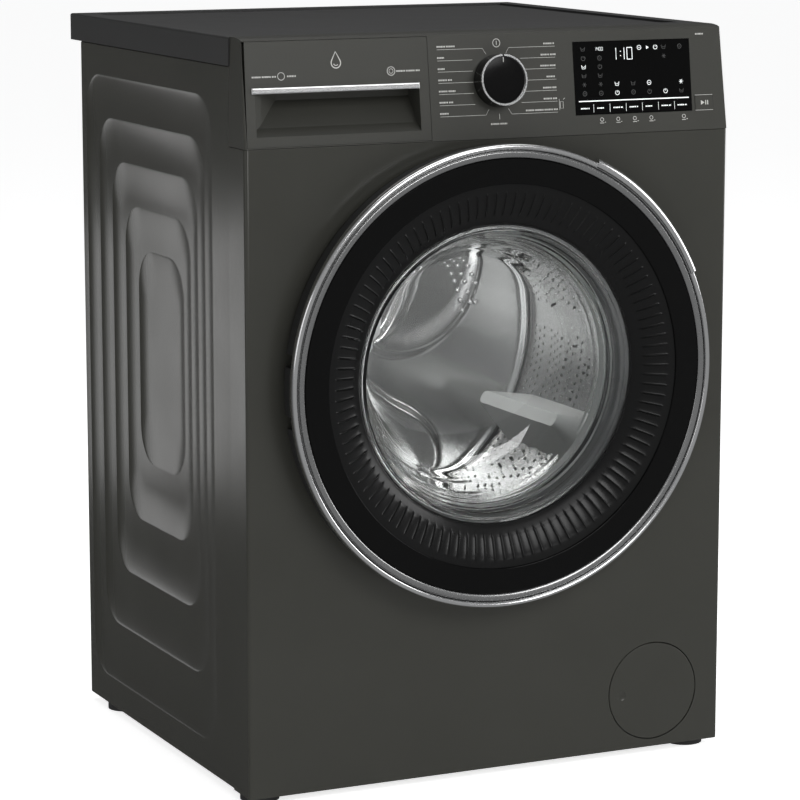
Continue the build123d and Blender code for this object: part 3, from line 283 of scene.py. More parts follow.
def vary(tree, shader, noise, socket, low, high):
    """Drives a number of the shader by the noise, between two values."""
    spread = tree.nodes.new("ShaderNodeMapRange")
    spread.inputs["From Min"].default_value = 0.3
    spread.inputs["From Max"].default_value = 0.7
    spread.inputs["To Min"].default_value = low
    spread.inputs["To Max"].default_value = high
    tree.links.new(noise.outputs["Fac"], spread.inputs["Value"])
    tree.links.new(spread.outputs["Result"], shader.inputs[socket])


def vary_colour(tree, shader, noise, first, second):
    """Mixes two base colours by the noise."""
    ramp = tree.nodes.new("ShaderNodeValToRGB")
    ramp.color_ramp.elements[0].position = 0.35
    ramp.color_ramp.elements[0].color = (*first, 1.0)
    ramp.color_ramp.elements[1].position = 0.65
    ramp.color_ramp.elements[1].color = (*second, 1.0)
    tree.links.new(noise.outputs["Fac"], ramp.inputs["Fac"])
    tree.links.new(ramp.outputs["Color"], shader.inputs["Base Color"])


def add_bump(tree, shader, noise, strength, distance):
    """Raises the surface by the noise, up to distance in metres."""
    bump = tree.nodes.new("ShaderNodeBump")
    bump.inputs["Strength"].default_value = strength
    bump.inputs["Distance"].default_value = distance
    tree.links.new(noise.outputs["Fac"], bump.inputs["Height"])
    tree.links.new(bump.outputs["Normal"], shader.inputs["Normal"])


def painted(name, colour, roughness=0.36, orange_peel=0.05, gloss=0.5):
    """Paint or moulded plastic with a fine, slightly uneven surface."""
    material, tree, shader = new_material(name, colour, roughness, Specular_IOR_Level=gloss)
    fine = add_noise(tree, 900.0, 3.0)
    broad = add_noise(tree, 9.0, 4.0)
    vary(tree, shader, broad, "Roughness", roughness - 0.02, roughness + 0.03)
    shade = tuple(c * 0.97 for c in colour), tuple(c * 1.03 for c in colour)
    vary_colour(tree, shader, broad, *shade)
    add_bump(tree, shader, fine, orange_peel, 0.0001)
    return material


def steel(name, colour, roughness, scale, grain_depth=0.12, spread=0.06):
    """Bare or plated metal with an uneven sheen, and a fine grain where grain_depth is set."""
    material, tree, shader = new_material(name, colour, roughness, 1.0)
    grain = add_noise(tree, scale, 6.0)
    vary(tree, shader, grain, "Roughness", roughness - spread, roughness + spread)
    if grain_depth:
        add_bump(tree, shader, grain, grain_depth, 0.00015)
    return material


def rubber(name, colour, roughness=0.6):
    """Soft or gritty matte surface."""
    material, tree, shader = new_material(name, colour, roughness)
    vary(tree, shader, add_noise(tree, 40.0, 3.0), "Roughness", roughness - 0.08, roughness + 0.08)
    add_bump(tree, shader, add_noise(tree, 1400.0, 2.0), 0.25, 0.0002)
    return material


def glow(name, colour, strength):
    """Print or display element with an emission: on lit display segments it is the display's own
    light, on print and unlit display signs a painted glow.
    """
    material, tree, shader = new_material(name, colour, 0.5)
    shader.inputs["Emission Color"].default_value = (*colour, 1.0)
    shader.inputs["Emission Strength"].default_value = strength
    vary(tree, shader, add_noise(tree, 300.0), "Roughness", 0.4, 0.6)
    return material


def clear_glass(name):
    """Pressed glass, here and there very slightly less than clear."""
    material, tree, shader = new_material(
        name, (0.96, 0.975, 0.975), 0.0, Transmission_Weight=1.0, IOR=1.45
    )
    vary(tree, shader, add_noise(tree, 14.0, 1.0), "Roughness", 0.0, 0.02)
    return material


M = {
    "cabinet_paint": painted("cabinet_paint", (0.036, 0.036, 0.031), 0.23, 0.01, 0.3),
    "fascia_plastic": painted("fascia_plastic", (0.034, 0.034, 0.029), 0.40, 0.05, 0.3),
    "worktop_laminate": painted("worktop_laminate", (0.030, 0.030, 0.030), 0.5, 0.10, 0.35),
    "galvanised": steel("galvanised", (0.55, 0.56, 0.57), 0.38, 30.0),
    "bright_steel": steel("bright_steel", (0.58, 0.58, 0.575), 0.20, 8.0, 0.0, 0.03),
    "zinc_steel": steel("zinc_steel", (0.60, 0.60, 0.62), 0.34, 120.0),
    "cast_metal": steel("cast_metal", (0.52, 0.52, 0.52), 0.5, 300.0),
    "chrome_trim": steel("chrome_trim", (0.76, 0.76, 0.76), 0.17, 6.0, 0.0, 0.02),
    "dark_plastic": painted("dark_plastic", (0.014, 0.014, 0.014), 0.5, 0.12),
    "gloss_black": painted("gloss_black", (0.003, 0.003, 0.003), 0.13, 0.01, 0.13),
    "tub_plastic": painted("tub_plastic", (0.48, 0.49, 0.48), 0.45, 0.08),
    "white_plastic": painted("white_plastic", (0.72, 0.72, 0.70), 0.35, 0.05),
    "concrete": rubber("concrete", (0.36, 0.35, 0.33), 0.9),
    "board_green": painted("board_green", (0.02, 0.12, 0.05), 0.4, 0.1),
    "display_glass": painted("display_glass", (0.002, 0.002, 0.002), 0.06, 0.0, 0.10),
    "grey_rubber": rubber("grey_rubber", (0.10, 0.10, 0.10)),
    "black_rubber": rubber("black_rubber", (0.02, 0.02, 0.02)),
    "clear_glass": clear_glass("clear_glass"),
}
# The pale print and the dim unlit display signs carry a small painted glow; only the lit segments
# stand for real display light.
PRINT_PAINTED_GLOW = glow("pale_print_painted_glow", (0.46, 0.46, 0.44), 0.10)
DIM_PRINT_PAINTED_GLOW = glow("dim_print_painted_glow", (0.045, 0.045, 0.045), 0.15)
LIGHT = glow("lit_segment", (0.75, 0.78, 0.78), 0.55)
KNOB_SKIRT = steel("knob_skirt", (0.13, 0.13, 0.13), 0.2, 20.0, 0.0, 0.02)
BRUSHED_RING = steel("brushed_ring", (0.40, 0.40, 0.40), 0.26, 300.0, 0.0, 0.03)
RIB_BLACK = painted("ribbed_black", (0.004, 0.004, 0.004), 0.28, 0.02, 0.25)


def dress_cad_nodes():
    """Gives every carried-over CAD node the finish that its record slot names."""
    slots = {part["node"]: part["material_slot"] for part in frame["record"]["subparts"]}
    for name, node in frame["nodes"].items():
        node.data.materials.clear()
        node.data.materials.append(M[slots[name]])


SOFT_EDGED = ("front_panel", "control_fascia", "worktop_frame", "worktop_board")


def soften_edges():
    """Rounds the sharp outer edges of the pressed and moulded CAD shells a little."""
    for name in SOFT_EDGED:
        node = frame["nodes"][name]
        weld = node.modifiers.new("weld", "WELD")
        weld.merge_threshold = 0.01 * MM
        bevel = node.modifiers.new("soft_edge", "BEVEL")
        bevel.width = 0.8 * MM
        bevel.segments = 2
        bevel.limit_method = "ANGLE"
        bevel.angle_limit = math.radians(50)
        bevel.harden_normals = True


# --------------------------------------------------------------------- side panels
PANEL_LEVELS = 5
EDGE = 1.6  # radius of the folded edge
LEVEL_STEP = 4.0  # each nested field lies this much further in
COVE_DEEP, COVE_TALL = 27.0, 44.0  # widths of the rounded slopes between two fields
COVE_STEPS = 12
FIELD_MIDDLE = 296.5  # depth of the fields' shared centre line
FIELD_HALF, HALF_LESS = 199.0, 31.8  # outermost field's half width, and how much each loses
FIELD_FOOT, FOOT_RISE = 45.0, 70.0
FIELD_HEAD, HEAD_FALL = 777.5, 49.6
FIELD_CORNER = 45.0  # corner radius of each field's outline
FLANGE = 12.0  # how far the sheet is folded in round its border
SHEET = 0.8


def rounded_loop(low, high, radius, per_side=14, per_corner=10):
    """Points of (depth, z) round a rounded rectangle, the same number for any size."""
    corners = (
        (high[0] - radius, high[1] - radius, 0), (low[0] + radius, high[1] - radius, 90),
        (low[0] + radius, low[1] + radius, 180), (high[0] - radius, low[1] + radius, 270),
    )
    loop = []
    for k, (d, z, start) in enumerate(corners):
        arc = oval((d, z), (radius, radius), start, start + 90, per_corner)
        ahead_d, ahead_z, ahead = corners[(k + 1) % 4]
        first = oval((ahead_d, ahead_z), (radius, radius), ahead, ahead + 90, 1)[0]
        loop += arc
        for step in range(1, per_side):
            t = step / per_side
            loop.append((arc[-1][0] + (first[0] - arc[-1][0]) * t,
                         arc[-1][1] + (first[1] - arc[-1][1]) * t))
    return loop


def slope_shape(t):
    """Share of a slope's depth reached at t of its width: crisp at first, then ever flatter."""
    return 0.75 * t * (2 - t) + 0.25 * math.sqrt(1 - (1 - t) ** 2)


def panel_rings(low, high):
    """Rings of (corner, corner, radius, drop) from the panel's flange to its middle field."""
    rings = [(low, high, 0.5, FLANGE)]
    for angle in even_angles(20, 0, 90):
        inset = EDGE * (1 - math.cos(angle))
        drop = EDGE * (1 - math.sin(angle))
        rings.append(((low[0] + inset, low[1] + inset), (high[0] - inset, high[1] - inset),
                      0.5, drop))
    for level in range(PANEL_LEVELS):
        half = FIELD_HALF - HALF_LESS * level
        foot = FIELD_FOOT + FOOT_RISE * level
        head = FIELD_HEAD - HEAD_FALL * level
        for step in range(COVE_STEPS + 1):
            t = (step / COVE_STEPS) ** 1.5
            inset, rise = COVE_DEEP * t, COVE_TALL * t
            rings.append((
                (FIELD_MIDDLE - half + inset, foot + rise),
                (FIELD_MIDDLE + half - inset, head - rise),
                FIELD_CORNER - 0.7 * inset, LEVEL_STEP * (level + slope_shape(t)),
            ))
    return rings


def make_side_panel(side):
    """Pressed side panel with five nested fields, each sunk behind a rounded slope."""
    name = "side_panel_right" if side > 0 else "side_panel_left"
    low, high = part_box(name)
    outer = high.x if side > 0 else low.x
    corner_low = ((low.y - FRONT) / MM, low.z / MM)
    corner_high = ((high.y - FRONT) / MM, high.z / MM)
    points, faces, count = [], [], 0
    for ring_low, ring_high, radius, drop in panel_rings(corner_low, corner_high):
        loop = rounded_loop(ring_low, ring_high, radius)
        count = len(loop)
        points += [(outer - side * drop * MM, FRONT + d * MM, z * MM) for d, z in loop]
    for ring in range(len(points) // count - 1):
        here, there = ring * count, (ring + 1) * count
        faces += [(here + k, here + (k + 1) % count, there + (k + 1) % count, there + k)
                  for k in range(count)]
    faces.append(tuple(range(len(points) - count, len(points))))
    panel = add_piece(name.replace("panel", "skin"), points, faces, "cabinet",
                      M["cabinet_paint"], "cabinet_paint", 8, (name,))
    sheet = panel.modifiers.new("sheet", "SOLIDIFY")
    sheet.thickness = SHEET * MM
    sheet.offset = -1.0


# ---------------------------------------------------------------------------- door
RIB_COUNT = 108
BEAD_START, BEAD_END = 64.5, 384.0  # degrees round the door; the handle fills the rest


def make_door_ring():
    """Bright hollow-backed bead, a slimmer bead behind the handle, and a brushed inner band."""
    bead = oval((256.4, -31.6), (3.6, 5.3), 0, -180, 16)
    bead += [(253.4, -32.6), (254.6, -34.2), (256.6, -34.4), (258.2, -32.6), (258.4, -29.0),
             (260.0, -29.0)]
    stations = even_angles(300, BEAD_START, BEAD_END)
    add_piece("ring_bead", *turned(bead, stations), "door", M["chrome_trim"], "chrome_trim",
              50, ("door_ring",))
    slim = oval((253.7, -31.6), (0.9, 4.6), 0, -180, 8) + [(252.8, -29.0), (254.6, -29.0)]
    add_piece("ring_bead_inner", *turned(slim, even_angles(48, BEAD_END - 360, BEAD_START)), "door",
              M["chrome_trim"], "chrome_trim", 50)
    band = smooth_line([(244.0, -32.6), (245.2, -34.6), (247.5, -35.4), (250.4, -35.6),
                        (251.2, -34.9)], 5)
    band += [(251.6, -33.0), (252.3, -33.0), (252.3, -31.0), (244.0, -31.0)]
    add_piece("ring_band", *turned(band, even_angles(320)), "door", BRUSHED_RING, "chrome_trim", 40)


def rib_angles():
    """Stations round the door, close together at each rib."""
    offsets = (-0.5, -0.16, -0.1, -0.05, 0.0, 0.05, 0.1, 0.16)
    pitch = 2 * math.pi / RIB_COUNT
    return [pitch * (k + offset) for k in range(RIB_COUNT) for offset in offsets] + [
        pitch * (RIB_COUNT - 0.5)]


def rib_lift(radius, angle):
    """Thin raised ribs on the door's funnel."""
    along = ease(radius, 178.5, 182.0) * (1 - ease(radius, 204.5, 208.0))
    pitch = 2 * math.pi / RIB_COUNT
    across = (angle / pitch + 0.5) % 1.0 - 0.5
    return -1.7 * along * math.exp(-(across / 0.07) ** 2)


def make_door_cover():
    """Black door front: flat gloss border, a step, and a ribbed funnel down to the glass."""
    face = [(243.8, -33.4), (243.2, -34.0), (230, -34.3), (217.5, -34.5)]
    face += oval((216.6, -33.5), (1.0, 1.0), 270, 200, 4)
    face += smooth_line([(215.2, -31.9), (208.0, -30.6), (204.5, -29.6), (200.0, -28.3),
                         (192.0, -25.4), (184.0, -21.9), (181.0, -20.2), (178.5, -18.7),
                         (172.0, -14.2), (168.9, -11.2)], 3)
    back = [(167.8, -9.8), (170.4, -9.6), (182, -17.4), (193, -23.0), (206, -27.4),
            (216, -29.4), (218, -31.6), (230, -31.6), (243.8, -31.2)]
    cover = add_piece("door_face", *turned(face + back, rib_angles(), rib_lift), "door",
                      M["gloss_black"], "gloss_black", 40, ("door_cover",))
    cover.data.materials.append(RIB_BLACK)
    for polygon in cover.data.polygons:
        middle = polygon.center
        reach = math.hypot(middle.x - AXIS_X, middle.z - AXIS_Z) / MM
        polygon.material_index = 1 if 170.0 < reach < 215.0 else 0


def make_door_glass():
    """Thick pressed glass bowl with its flange."""
    outside = smooth_line([(0, 91.5), (30, 91.2), (60, 90.2), (90, 87.6), (110, 84.0),
                           (126, 77.0), (134.5, 67.0), (139.5, 56.0), (145.5, 39.0),
                           (152, 20), (158, 5.5), (163.4, -7.4)], 6)
    outside = [(r + 0.7 * math.sin(d * 2 * math.pi / 9.0) * (1 - ease(d, 30.0, 46.0)), d)
               for r, d in outside]
    rim = [(166.0, -8.6), (181, -8.6), (181, -12.0), (163.6, -12.0)]
    inside = smooth_line([(161.4, -11.6), (154.5, 3.5), (148, 19), (142, 37.5),
                          (136, 54.0), (131.3, 64.3), (123.0, 73.8), (108, 80.2), (89, 83.6),
                          (60, 86.2), (30, 87.2), (0, 87.5)], 6)
    add_piece("door_bowl", *turned(outside + rim + inside, even_angles(256)), "door",
              M["clear_glass"], "clear_glass", 45, ("door_glass",))


def make_handle():
    """Chrome lip that carries the ring's bead on and steps out past it at the upper right."""
    lip = smooth_line([(255.1, -33.0), (255.3, -35.4), (257, -36.7), (259.6, -36.4),
                       (262.4, -34.6), (264.6, -31.4), (265.2, -27.6), (265.0, -24.6)], 4)
    lip += smooth_line([(262.6, -24.6), (262.4, -27.4), (260.6, -30.2), (258, -31.0),
                        (255.1, -31.0)], 3)
    add_piece("handle_lip", *turned(lip, even_angles(72, 24.1, 64.4)), "handle",
              M["chrome_trim"], "chrome_trim", 40, ("door_handle",))


# ---------------------------------------------------------------------------- drum
DRUM_R = 244.0
WALL_FRONT, WALL_BACK = 82.0, 378.0
HOLE_R = 2.6
HOLES_ROUND = 150
HOLE_ROWS = 27
PLAIN_ROWS = (0, 8, 9, 22, 26)  # rows with no holes
AROUND_HOLE = ((1, 0), (1, 1), (0, 1), (-1, 1), (-1, 0), (-1, -1), (0, -1), (1, -1))
PETAL_TURN = math.radians(35)
BUMP_SPOTS = [math.radians(a) for a in (20, 140, 260)]
DOME_R, DOME_TALL = 4.0, 3.4


def make_drum_wall():
    """Steel drum wall, perforated in a staggered grid, with plain strips along and round it."""
    points, faces = [], []
    wide = 2 * math.pi / HOLES_ROUND
    tall = (WALL_BACK - WALL_FRONT) / HOLE_ROWS

    def place(angle, depth, out=0.0):
        radius = DRUM_R + out
        points.append((AXIS_X + radius * MM * math.cos(angle), FRONT + depth * MM,
                       AXIS_Z + radius * MM * math.sin(angle)))
        return len(points) - 1

    for row in range(HOLE_ROWS):
        shift = 0.5 * wide * (row % 2)
        for column in range(HOLES_ROUND):
            angle = wide * (column + 0.5) + shift
            depth = WALL_FRONT + tall * (row + 0.5)
            edge = [place(angle + wide / 2 * u, depth + tall / 2 * v) for u, v in AROUND_HOLE]
            if row in PLAIN_ROWS or column % 50 in (0, 1, 49):
                faces.append(tuple(edge))
                continue
            ring = [place(angle + HOLE_R / DRUM_R * math.cos(a), depth + HOLE_R * math.sin(a))
                    for a in even_angles(8)[:-1]]
            lip = [place(angle + 0.7 * HOLE_R / DRUM_R * math.cos(a),
                         depth + 0.7 * HOLE_R * math.sin(a), 0.9) for a in even_angles(8)[:-1]]
            for k in range(8):
                n = (k + 1) % 8
                faces.append((edge[k], edge[n], ring[n], ring[k]))
                faces.append((ring[k], ring[n], lip[n], lip[k]))
    wall = add_piece("drum_wall", points, faces, "drum", M["bright_steel"], "bright_steel",
                     35, ("drum_shell",))
    sheet = wall.modifiers.new("sheet", "SOLIDIFY")
    sheet.thickness = 0.7 * MM
    sheet.offset = 0.0


def swirl(radius, angle):
    """Depth change of the drum's back: three raised petals that curve round a hub."""
    inner, outer = 20.0, 230.0
    turn = angle - 0.75 * math.log(max(radius, 1.0) / 120.0) + PETAL_TURN
    across = abs((3 * turn / (2 * math.pi)) % 1.0 - 0.5)
    along = min(1.0, max(0.0, (radius - inner) / (outer - inner)))
    half = 0.32 * math.sin(math.pi * along ** 0.7) ** 0.6
    reach = (half - across) * 2 * math.pi * radius / 3
    petal = ease(reach, -4.0, 6.0) * (1 - 0.6 * ease(reach, 8.0, 44.0))
    hub = 1 - ease(radius, 15.0, 24.0)
    return -10.0 * petal - 6.0 * hub


def make_drum_back():
    """Pressed back of the drum, with a swirl of three arms and a dished edge."""
    radii = [4.0 * k for k in range(58)]
    face = [(r, 386.5) for r in radii] + smooth_line(
        [(231, 386.3), (236, 385.0), (240, 382.4), (243.0, 381.6)], 3)
    back = [(243.0, 383.0), (238, 387.4)] + [(r, 388.0) for r in reversed(radii)]
    add_piece("drum_back_pressing", *turned(face + back, even_angles(360), swirl), "drum",
              M["bright_steel"], "bright_steel", 60, ("drum_back",))


def make_drum_bumps():
    """Three groups of small polished domes on the drum's back."""
    points, faces = [], []
    for spot in BUMP_SPOTS:
        for row in range(7):
            for column in range(3):
                across = (column - 1) * 12.0
                along = (row - 3) * 13.0 + (6.5 if column == 1 else 0.0)
                middle = 160.0 + across
                radius, angle = middle, spot + along / middle
                top = 386.2 + swirl(radius, angle)
                start = len(points)
                for tilt in (0, 30, 60):
                    reach = DOME_R * math.cos(math.radians(tilt))
                    rise = DOME_TALL * math.sin(math.radians(tilt))
                    for a in even_angles(12)[:-1]:
                        x = radius * math.cos(angle) + reach * math.cos(a)
                        z = radius * math.sin(angle) + reach * math.sin(a)
                        points.append((AXIS_X + x * MM, FRONT + (top - rise) * MM,
                                       AXIS_Z + z * MM))
                points.append((AXIS_X + radius * math.cos(angle) * MM,
                               FRONT + (top - DOME_TALL) * MM,
                               AXIS_Z + radius * math.sin(angle) * MM))
                tip = len(points) - 1
                for k in range(12):
                    n = (k + 1) % 12
                    faces.append((start + k, start + n, start + 12 + n, start + 12 + k))
                    faces.append((start + 12 + k, start + 12 + n, start + 24 + n, start + 24 + k))
                    faces.append((start + 24 + k, start + 24 + n, tip))
                faces.append(tuple(start + k for k in range(12)))
    add_piece("drum_back_domes", points, faces, "drum", M["chrome_trim"], "bright_steel", 70)


def make_drum_mouth():
    """Rolled front ring of the drum."""
    outline = smooth_line([(243.8, 82.0), (240, 79.5), (228, 77.5), (206, 75.0), (190, 72.6),
                           (184, 72.2), (181.4, 74.6), (181.6, 78.2), (184, 80.4)], 4)
    outline += smooth_line([(190, 79.0), (206, 78.0), (228, 80.4), (240, 83.0),
                            (243.8, 84.6)], 3)
    add_piece("drum_mouth_ring", *turned(outline, even_angles(256)), "drum",
              M["bright_steel"], "bright_steel", 50, ("drum_front",))


def make_gasket():
    """Folded rubber bellows between the front panel and the tub."""
    outline = [(186, -1.5)] + smooth_line(
        [(170, -1.5), (165.4, 1.5), (163.6, 8), (160.8, 13.4), (161.6, 15.6), (163.8, 14.6),
         (167.5, 9.4), (168.8, 5), (171.4, 3.2), (172.4, 7), (172.2, 16), (173, 27.5),
         (179, 30.6), (187.4, 33), (190, 36.4), (187.6, 39.6), (180, 42), (174.4, 44.6),
         (173.9, 52), (173.9, 61)], 4)
    outline += [(176.6, 61)] + smooth_line(
        [(176.8, 48.5), (183, 45.6), (191.4, 42.6), (193.8, 38), (191.4, 31), (185, 27.6),
         (178.8, 24.6), (178.2, 14), (176.4, 6), (175.8, 0.2)], 3) + [(186, -0.3)]
    add_piece("gasket_bellows", *turned(outline, even_angles(256)), "cabinet",
              M["grey_rubber"], "grey_rubber", 50, ("door_gasket",))


# ---------------------------------------------------------------------------- knob
def knob_turned(profile, count=96):
    """Profile of (radius, height off the fascia) turned about the knob's axis."""
    points, faces, size = [], [], len(profile)
    middle_x, middle_z = KNOB_AT
    for angle in even_angles(count)[:-1]:
        for radius, height in profile:
            points.append(on_fascia(middle_x + radius * math.cos(angle),
                                    middle_z + radius * math.sin(angle) * math.cos(LEAN), height))
    for step in range(count):
        here, there = step * size, (step + 1) % count * size
        for k in range(size):
            after = (k + 1) % size
            faces.append((here + k, there + k, there + after, here + after))
    return points, faces


def make_knob():
    """Turned knob: dark polished skirt, thin bright ring, glossy face and a pointer line."""
    skirt = [(28.9, 0.6)] + smooth_line([(29.3, 1.2), (28.9, 8.0), (28.3, 15.0), (27.9, 16.6),
                                         (27.0, 17.0)], 4)
    skirt += [(25.6, 16.4), (25.6, 0.6)]
    add_piece("knob_skirt", *knob_turned(skirt), "knob", KNOB_SKIRT, "gloss_black", 40,
              ("program_knob",))
    face = [(0.0, 17.2), (12.0, 17.15), (22.0, 16.9), (25.4, 16.6), (25.5, 14.0), (0.0, 14.0)]
    add_piece("knob_face", *knob_turned(face), "knob", M["gloss_black"], "gloss_black", 40)
    line = Marks(17.0, 17.6)
    x, z = KNOB_AT
    line.stroke([(x, z + 19.5), (x, z + 24.8)], 0.6)
    add_piece("knob_pointer", line.points, line.faces, "knob", PRINT_PAINTED_GLOW, "white_plastic")


# ------------------------------------------------------------------------ graphics
LEADER_LEFT, LEADER_RIGHT = -64.5, 81.2
LEADER_STEP = 12.1
PRINT_LOW, PRINT_HIGH = 0.02, 0.14  # how far printing stands off the fascia
LABELS_LEFT = (22, 9, 9, 17, 21, 16, 10)
LABELS_RIGHT = (14, 18, 19, 12, 17, 17, 40)


def leader_lines(marks):
    """Seven thin lines each side of the knob; the first and last turn towards it."""
    middle_x, middle_z = KNOB_AT
    for k in range(7):
        z = 790.0 + LEADER_STEP * (3 - k)
        reach = math.sqrt(38.0 ** 2 - min(37.0, abs(z - middle_z)) ** 2)
        inner = max(12.5, min(29.5, reach)) + (0 if 0 < k < 6 else 3.5)
        for side, edge in ((-1, LEADER_LEFT), (1, LEADER_RIGHT)):
            line = [(edge, z), (middle_x + side * inner, z)]
            if k in (0, 6):
                lean = -1 if k == 0 else 1
                line.append((middle_x + side * (inner - 4.0), z + lean * 6.2))
            marks.stroke(line, 0.36)
    marks.bar(7.9, 8.4, 751.4, 6.0)


def dashes(marks, left, length, z, tall=1.7):
    """Row of small plain blocks in place of a label."""
    x, k = left, 0
    while x < left + length - 0.6:
        size = (1.5, 0.9, 1.2, 1.7, 0.8, 1.3)[k % 6] * tall / 1.7
        marks.bar(x, x + size, z, tall)
        x += size + (1.5 if k % 6 == 5 else 0.55) * tall / 1.7
        k += 1


def make_fascia_print():
    """Program marks round the knob, power sign, small signs under the display, key lines."""
    marks = Marks(PRINT_LOW, PRINT_HIGH)
    leader_lines(marks)
    for k in range(7):
        z = 793.2 + LEADER_STEP * (3 - k)
        dashes(marks, LEADER_LEFT, LABELS_LEFT[k], z)
        dashes(marks, LEADER_RIGHT - LABELS_RIGHT[k], LABELS_RIGHT[k], z)
    marks.circle((8.8, 831.8), 4.4, 0.7)
    marks.bar(8.45, 9.15, 831.8, 4.6)
    dashes(marks, -3.0, 21.0, 743.6)
    marks.stroke([(84.6, 757.6), (88.2, 757.6), (88.2, 765.2), (84.6, 765.2)], 0.5, True)
    marks.stroke([(83.4, 756.0), (83.4, 768.0)], 0.4)
    marks.stroke([(88.6, 767.4), (90.6, 769.0)], 0.5)
    for k, x in enumerate((136.4, 157.1, 178.4, 199.7, 242.0)):
        marks.circle((x, 743.4), 2.0, 0.6)
        marks.bar(x - 2.6, x + 2.6, 739.6, 0.7)
        marks.stroke([(x + 3.4, 740.4), (x + 4.8, 740.4)], 0.6 + 0.1 * k)
    for z in (749.4, 766.4):
        marks.bar(257.6, 280.6, z, 0.5)
    dashes(marks, 262.0, 11.0, 834.9)
    add_piece("fascia_print", marks.points, marks.faces, "cabinet", PRINT_PAINTED_GLOW, "white_plastic")


def make_drawer_print():
    """Plain signs and dashes on the drawer front, in place of badges and lettering."""
    marks = Marks(PRINT_LOW, PRINT_HIGH)
    marks.circle((-251.0, 803.6), 4.0, 0.6)
    dashes(marks, -285.0, 28.0, 803.4)
    dashes(marks, -244.0, 11.0, 803.4)
    marks.circle((-121.0, 805.2), 4.6, 0.7)
    marks.circle((-121.0, 805.2), 2.4, 0.5)
    dashes(marks, -114.6, 29.0, 805.0)
    drop = oval((-186.0, 816.0), (5.6, 5.6), 150, 390, 20) + [(-186.0, 828.0)]
    marks.stroke(drop, 1.1, True)
    marks.arc((-186.0, 816.0), 2.8, 200, 320, 0.8)
    add_piece("drawer_print", marks.points, marks.faces, "drawer", PRINT_PAINTED_GLOW, "white_plastic")


COLUMNS = [116.0 + 20.7 * k for k in range(7)]
ROWS = (821.8, 811.5, 802.0, 792.3, 782.5, 772.5)


def small_sign(marks, x, z, kind):
    """Small generic sign, one of four plain forms."""
    if kind == 0:
        marks.circle((x, z), 2.4, 0.6)
        marks.bar(x - 1.2, x + 1.2, z, 0.6)
    elif kind == 1:
        marks.stroke([(x - 2.6, z + 2.0), (x - 1.8, z - 2.0), (x + 1.8, z - 2.0),
                      (x + 2.6, z + 2.0)], 0.6)
        marks.stroke([(x - 1.6, z + 0.6), (x, z - 0.4), (x + 1.6, z + 0.6)], 0.5)
    elif kind == 2:
        marks.arc((x, z), 2.4, 120, 420, 0.6)
        marks.stroke([(x, z + 0.2), (x, z + 2.6)], 0.6)
    else:
        for turn in (0, 60, 120):
            a = math.radians(turn)
            dx, dz = 2.6 * math.cos(a), 2.6 * math.sin(a)
            marks.stroke([(x - dx, z - dz), (x + dx, z + dz)], 0.5)


def make_display():
    """Lit and unlit figures and signs just proud of the display glass, with the touch keys."""
    lit, faint = Marks(0.62, 0.74), Marks(0.62, 0.70)
    lit.digits("1", 151.6, 809.2, 13.0, 0.75)
    lit.digits("10", 162.0, 809.2, 13.0, 0.75)
    for z in (813.4, 818.2):
        lit.bar(163.3, 164.3, z, 1.0)
    lit.digits("1400", 131.0, 819.8, 3.6, 0.32)
    lit.triangle((200.4, 821.6), 1.9)
    for column, row, kind in ((0, 2, 1), (2, 4, 1), (2, 5, 2), (4, 4, 0), (5, 5, 2), (6, 4, 3)):
        small_sign(lit, COLUMNS[column], ROWS[row], kind)
    small_sign(lit, 188.0, 821.8, 0)
    small_sign(lit, 208.9, 821.8, 2)
    for column, row, kind in (
        (0, 0, 1), (0, 1, 2), (0, 3, 1), (0, 4, 3), (0, 5, 0), (1, 1, 0), (1, 2, 2), (1, 3, 1),
        (1, 4, 3), (1, 5, 0), (3, 4, 1), (3, 5, 0), (4, 5, 2), (5, 0, 1), (6, 0, 0), (5, 1, 3),
        (6, 5, 1),
    ):
        small_sign(faint, COLUMNS[column], ROWS[row], kind)
    lit.bar(108.0, 249.2, 764.2, 1.15)
    for k in range(6):
        lit.stroke([(126.2 + 20.8 * k, 751.6), (126.2 + 20.8 * k, 760.5)], 0.35)
    for k, x in enumerate(COLUMNS):
        dashes(lit, x - 6.0, (11, 9, 13.0, 11, 10, 13.0, 12)[k], 756.2, 1.4)
    add_piece("display_lit", lit.points, lit.faces, "cabinet", LIGHT, "display_glass")
    add_piece("display_faint", faint.points, faint.faces, "cabinet", DIM_PRINT_PAINTED_GLOW, "display_glass")


def make_key_print():
    """Start and pause sign on the key."""
    marks = Marks(0.30, 0.62)
    marks.triangle((269.4, 757.8), 2.6)
    for x in (271.2, 273.8):
        marks.stroke([(x, 755.3), (x, 760.3)], 1.1)
    add_piece("key_print", marks.points, marks.faces, "start_button", PRINT_PAINTED_GLOW, "white_plastic")


# ------------------------------------------------------------------ light and camera
def add_softbox(name, place, aim, size, watts):
    """Rectangular area light that faces a point and doesn't show itself."""
    light = bpy.data.lights.new(name, "AREA")
    light.shape = "RECTANGLE"
    light.size, light.size_y = size
    light.energy = watts
    lamp = bpy.data.objects.new(name, light)
    lamp.location = place
    lamp.rotation_euler = (Vector(aim) - Vector(place)).to_track_quat("-Z", "Y").to_euler()
    lamp.visible_camera = False
    bpy.context.scene.collection.objects.link(lamp)


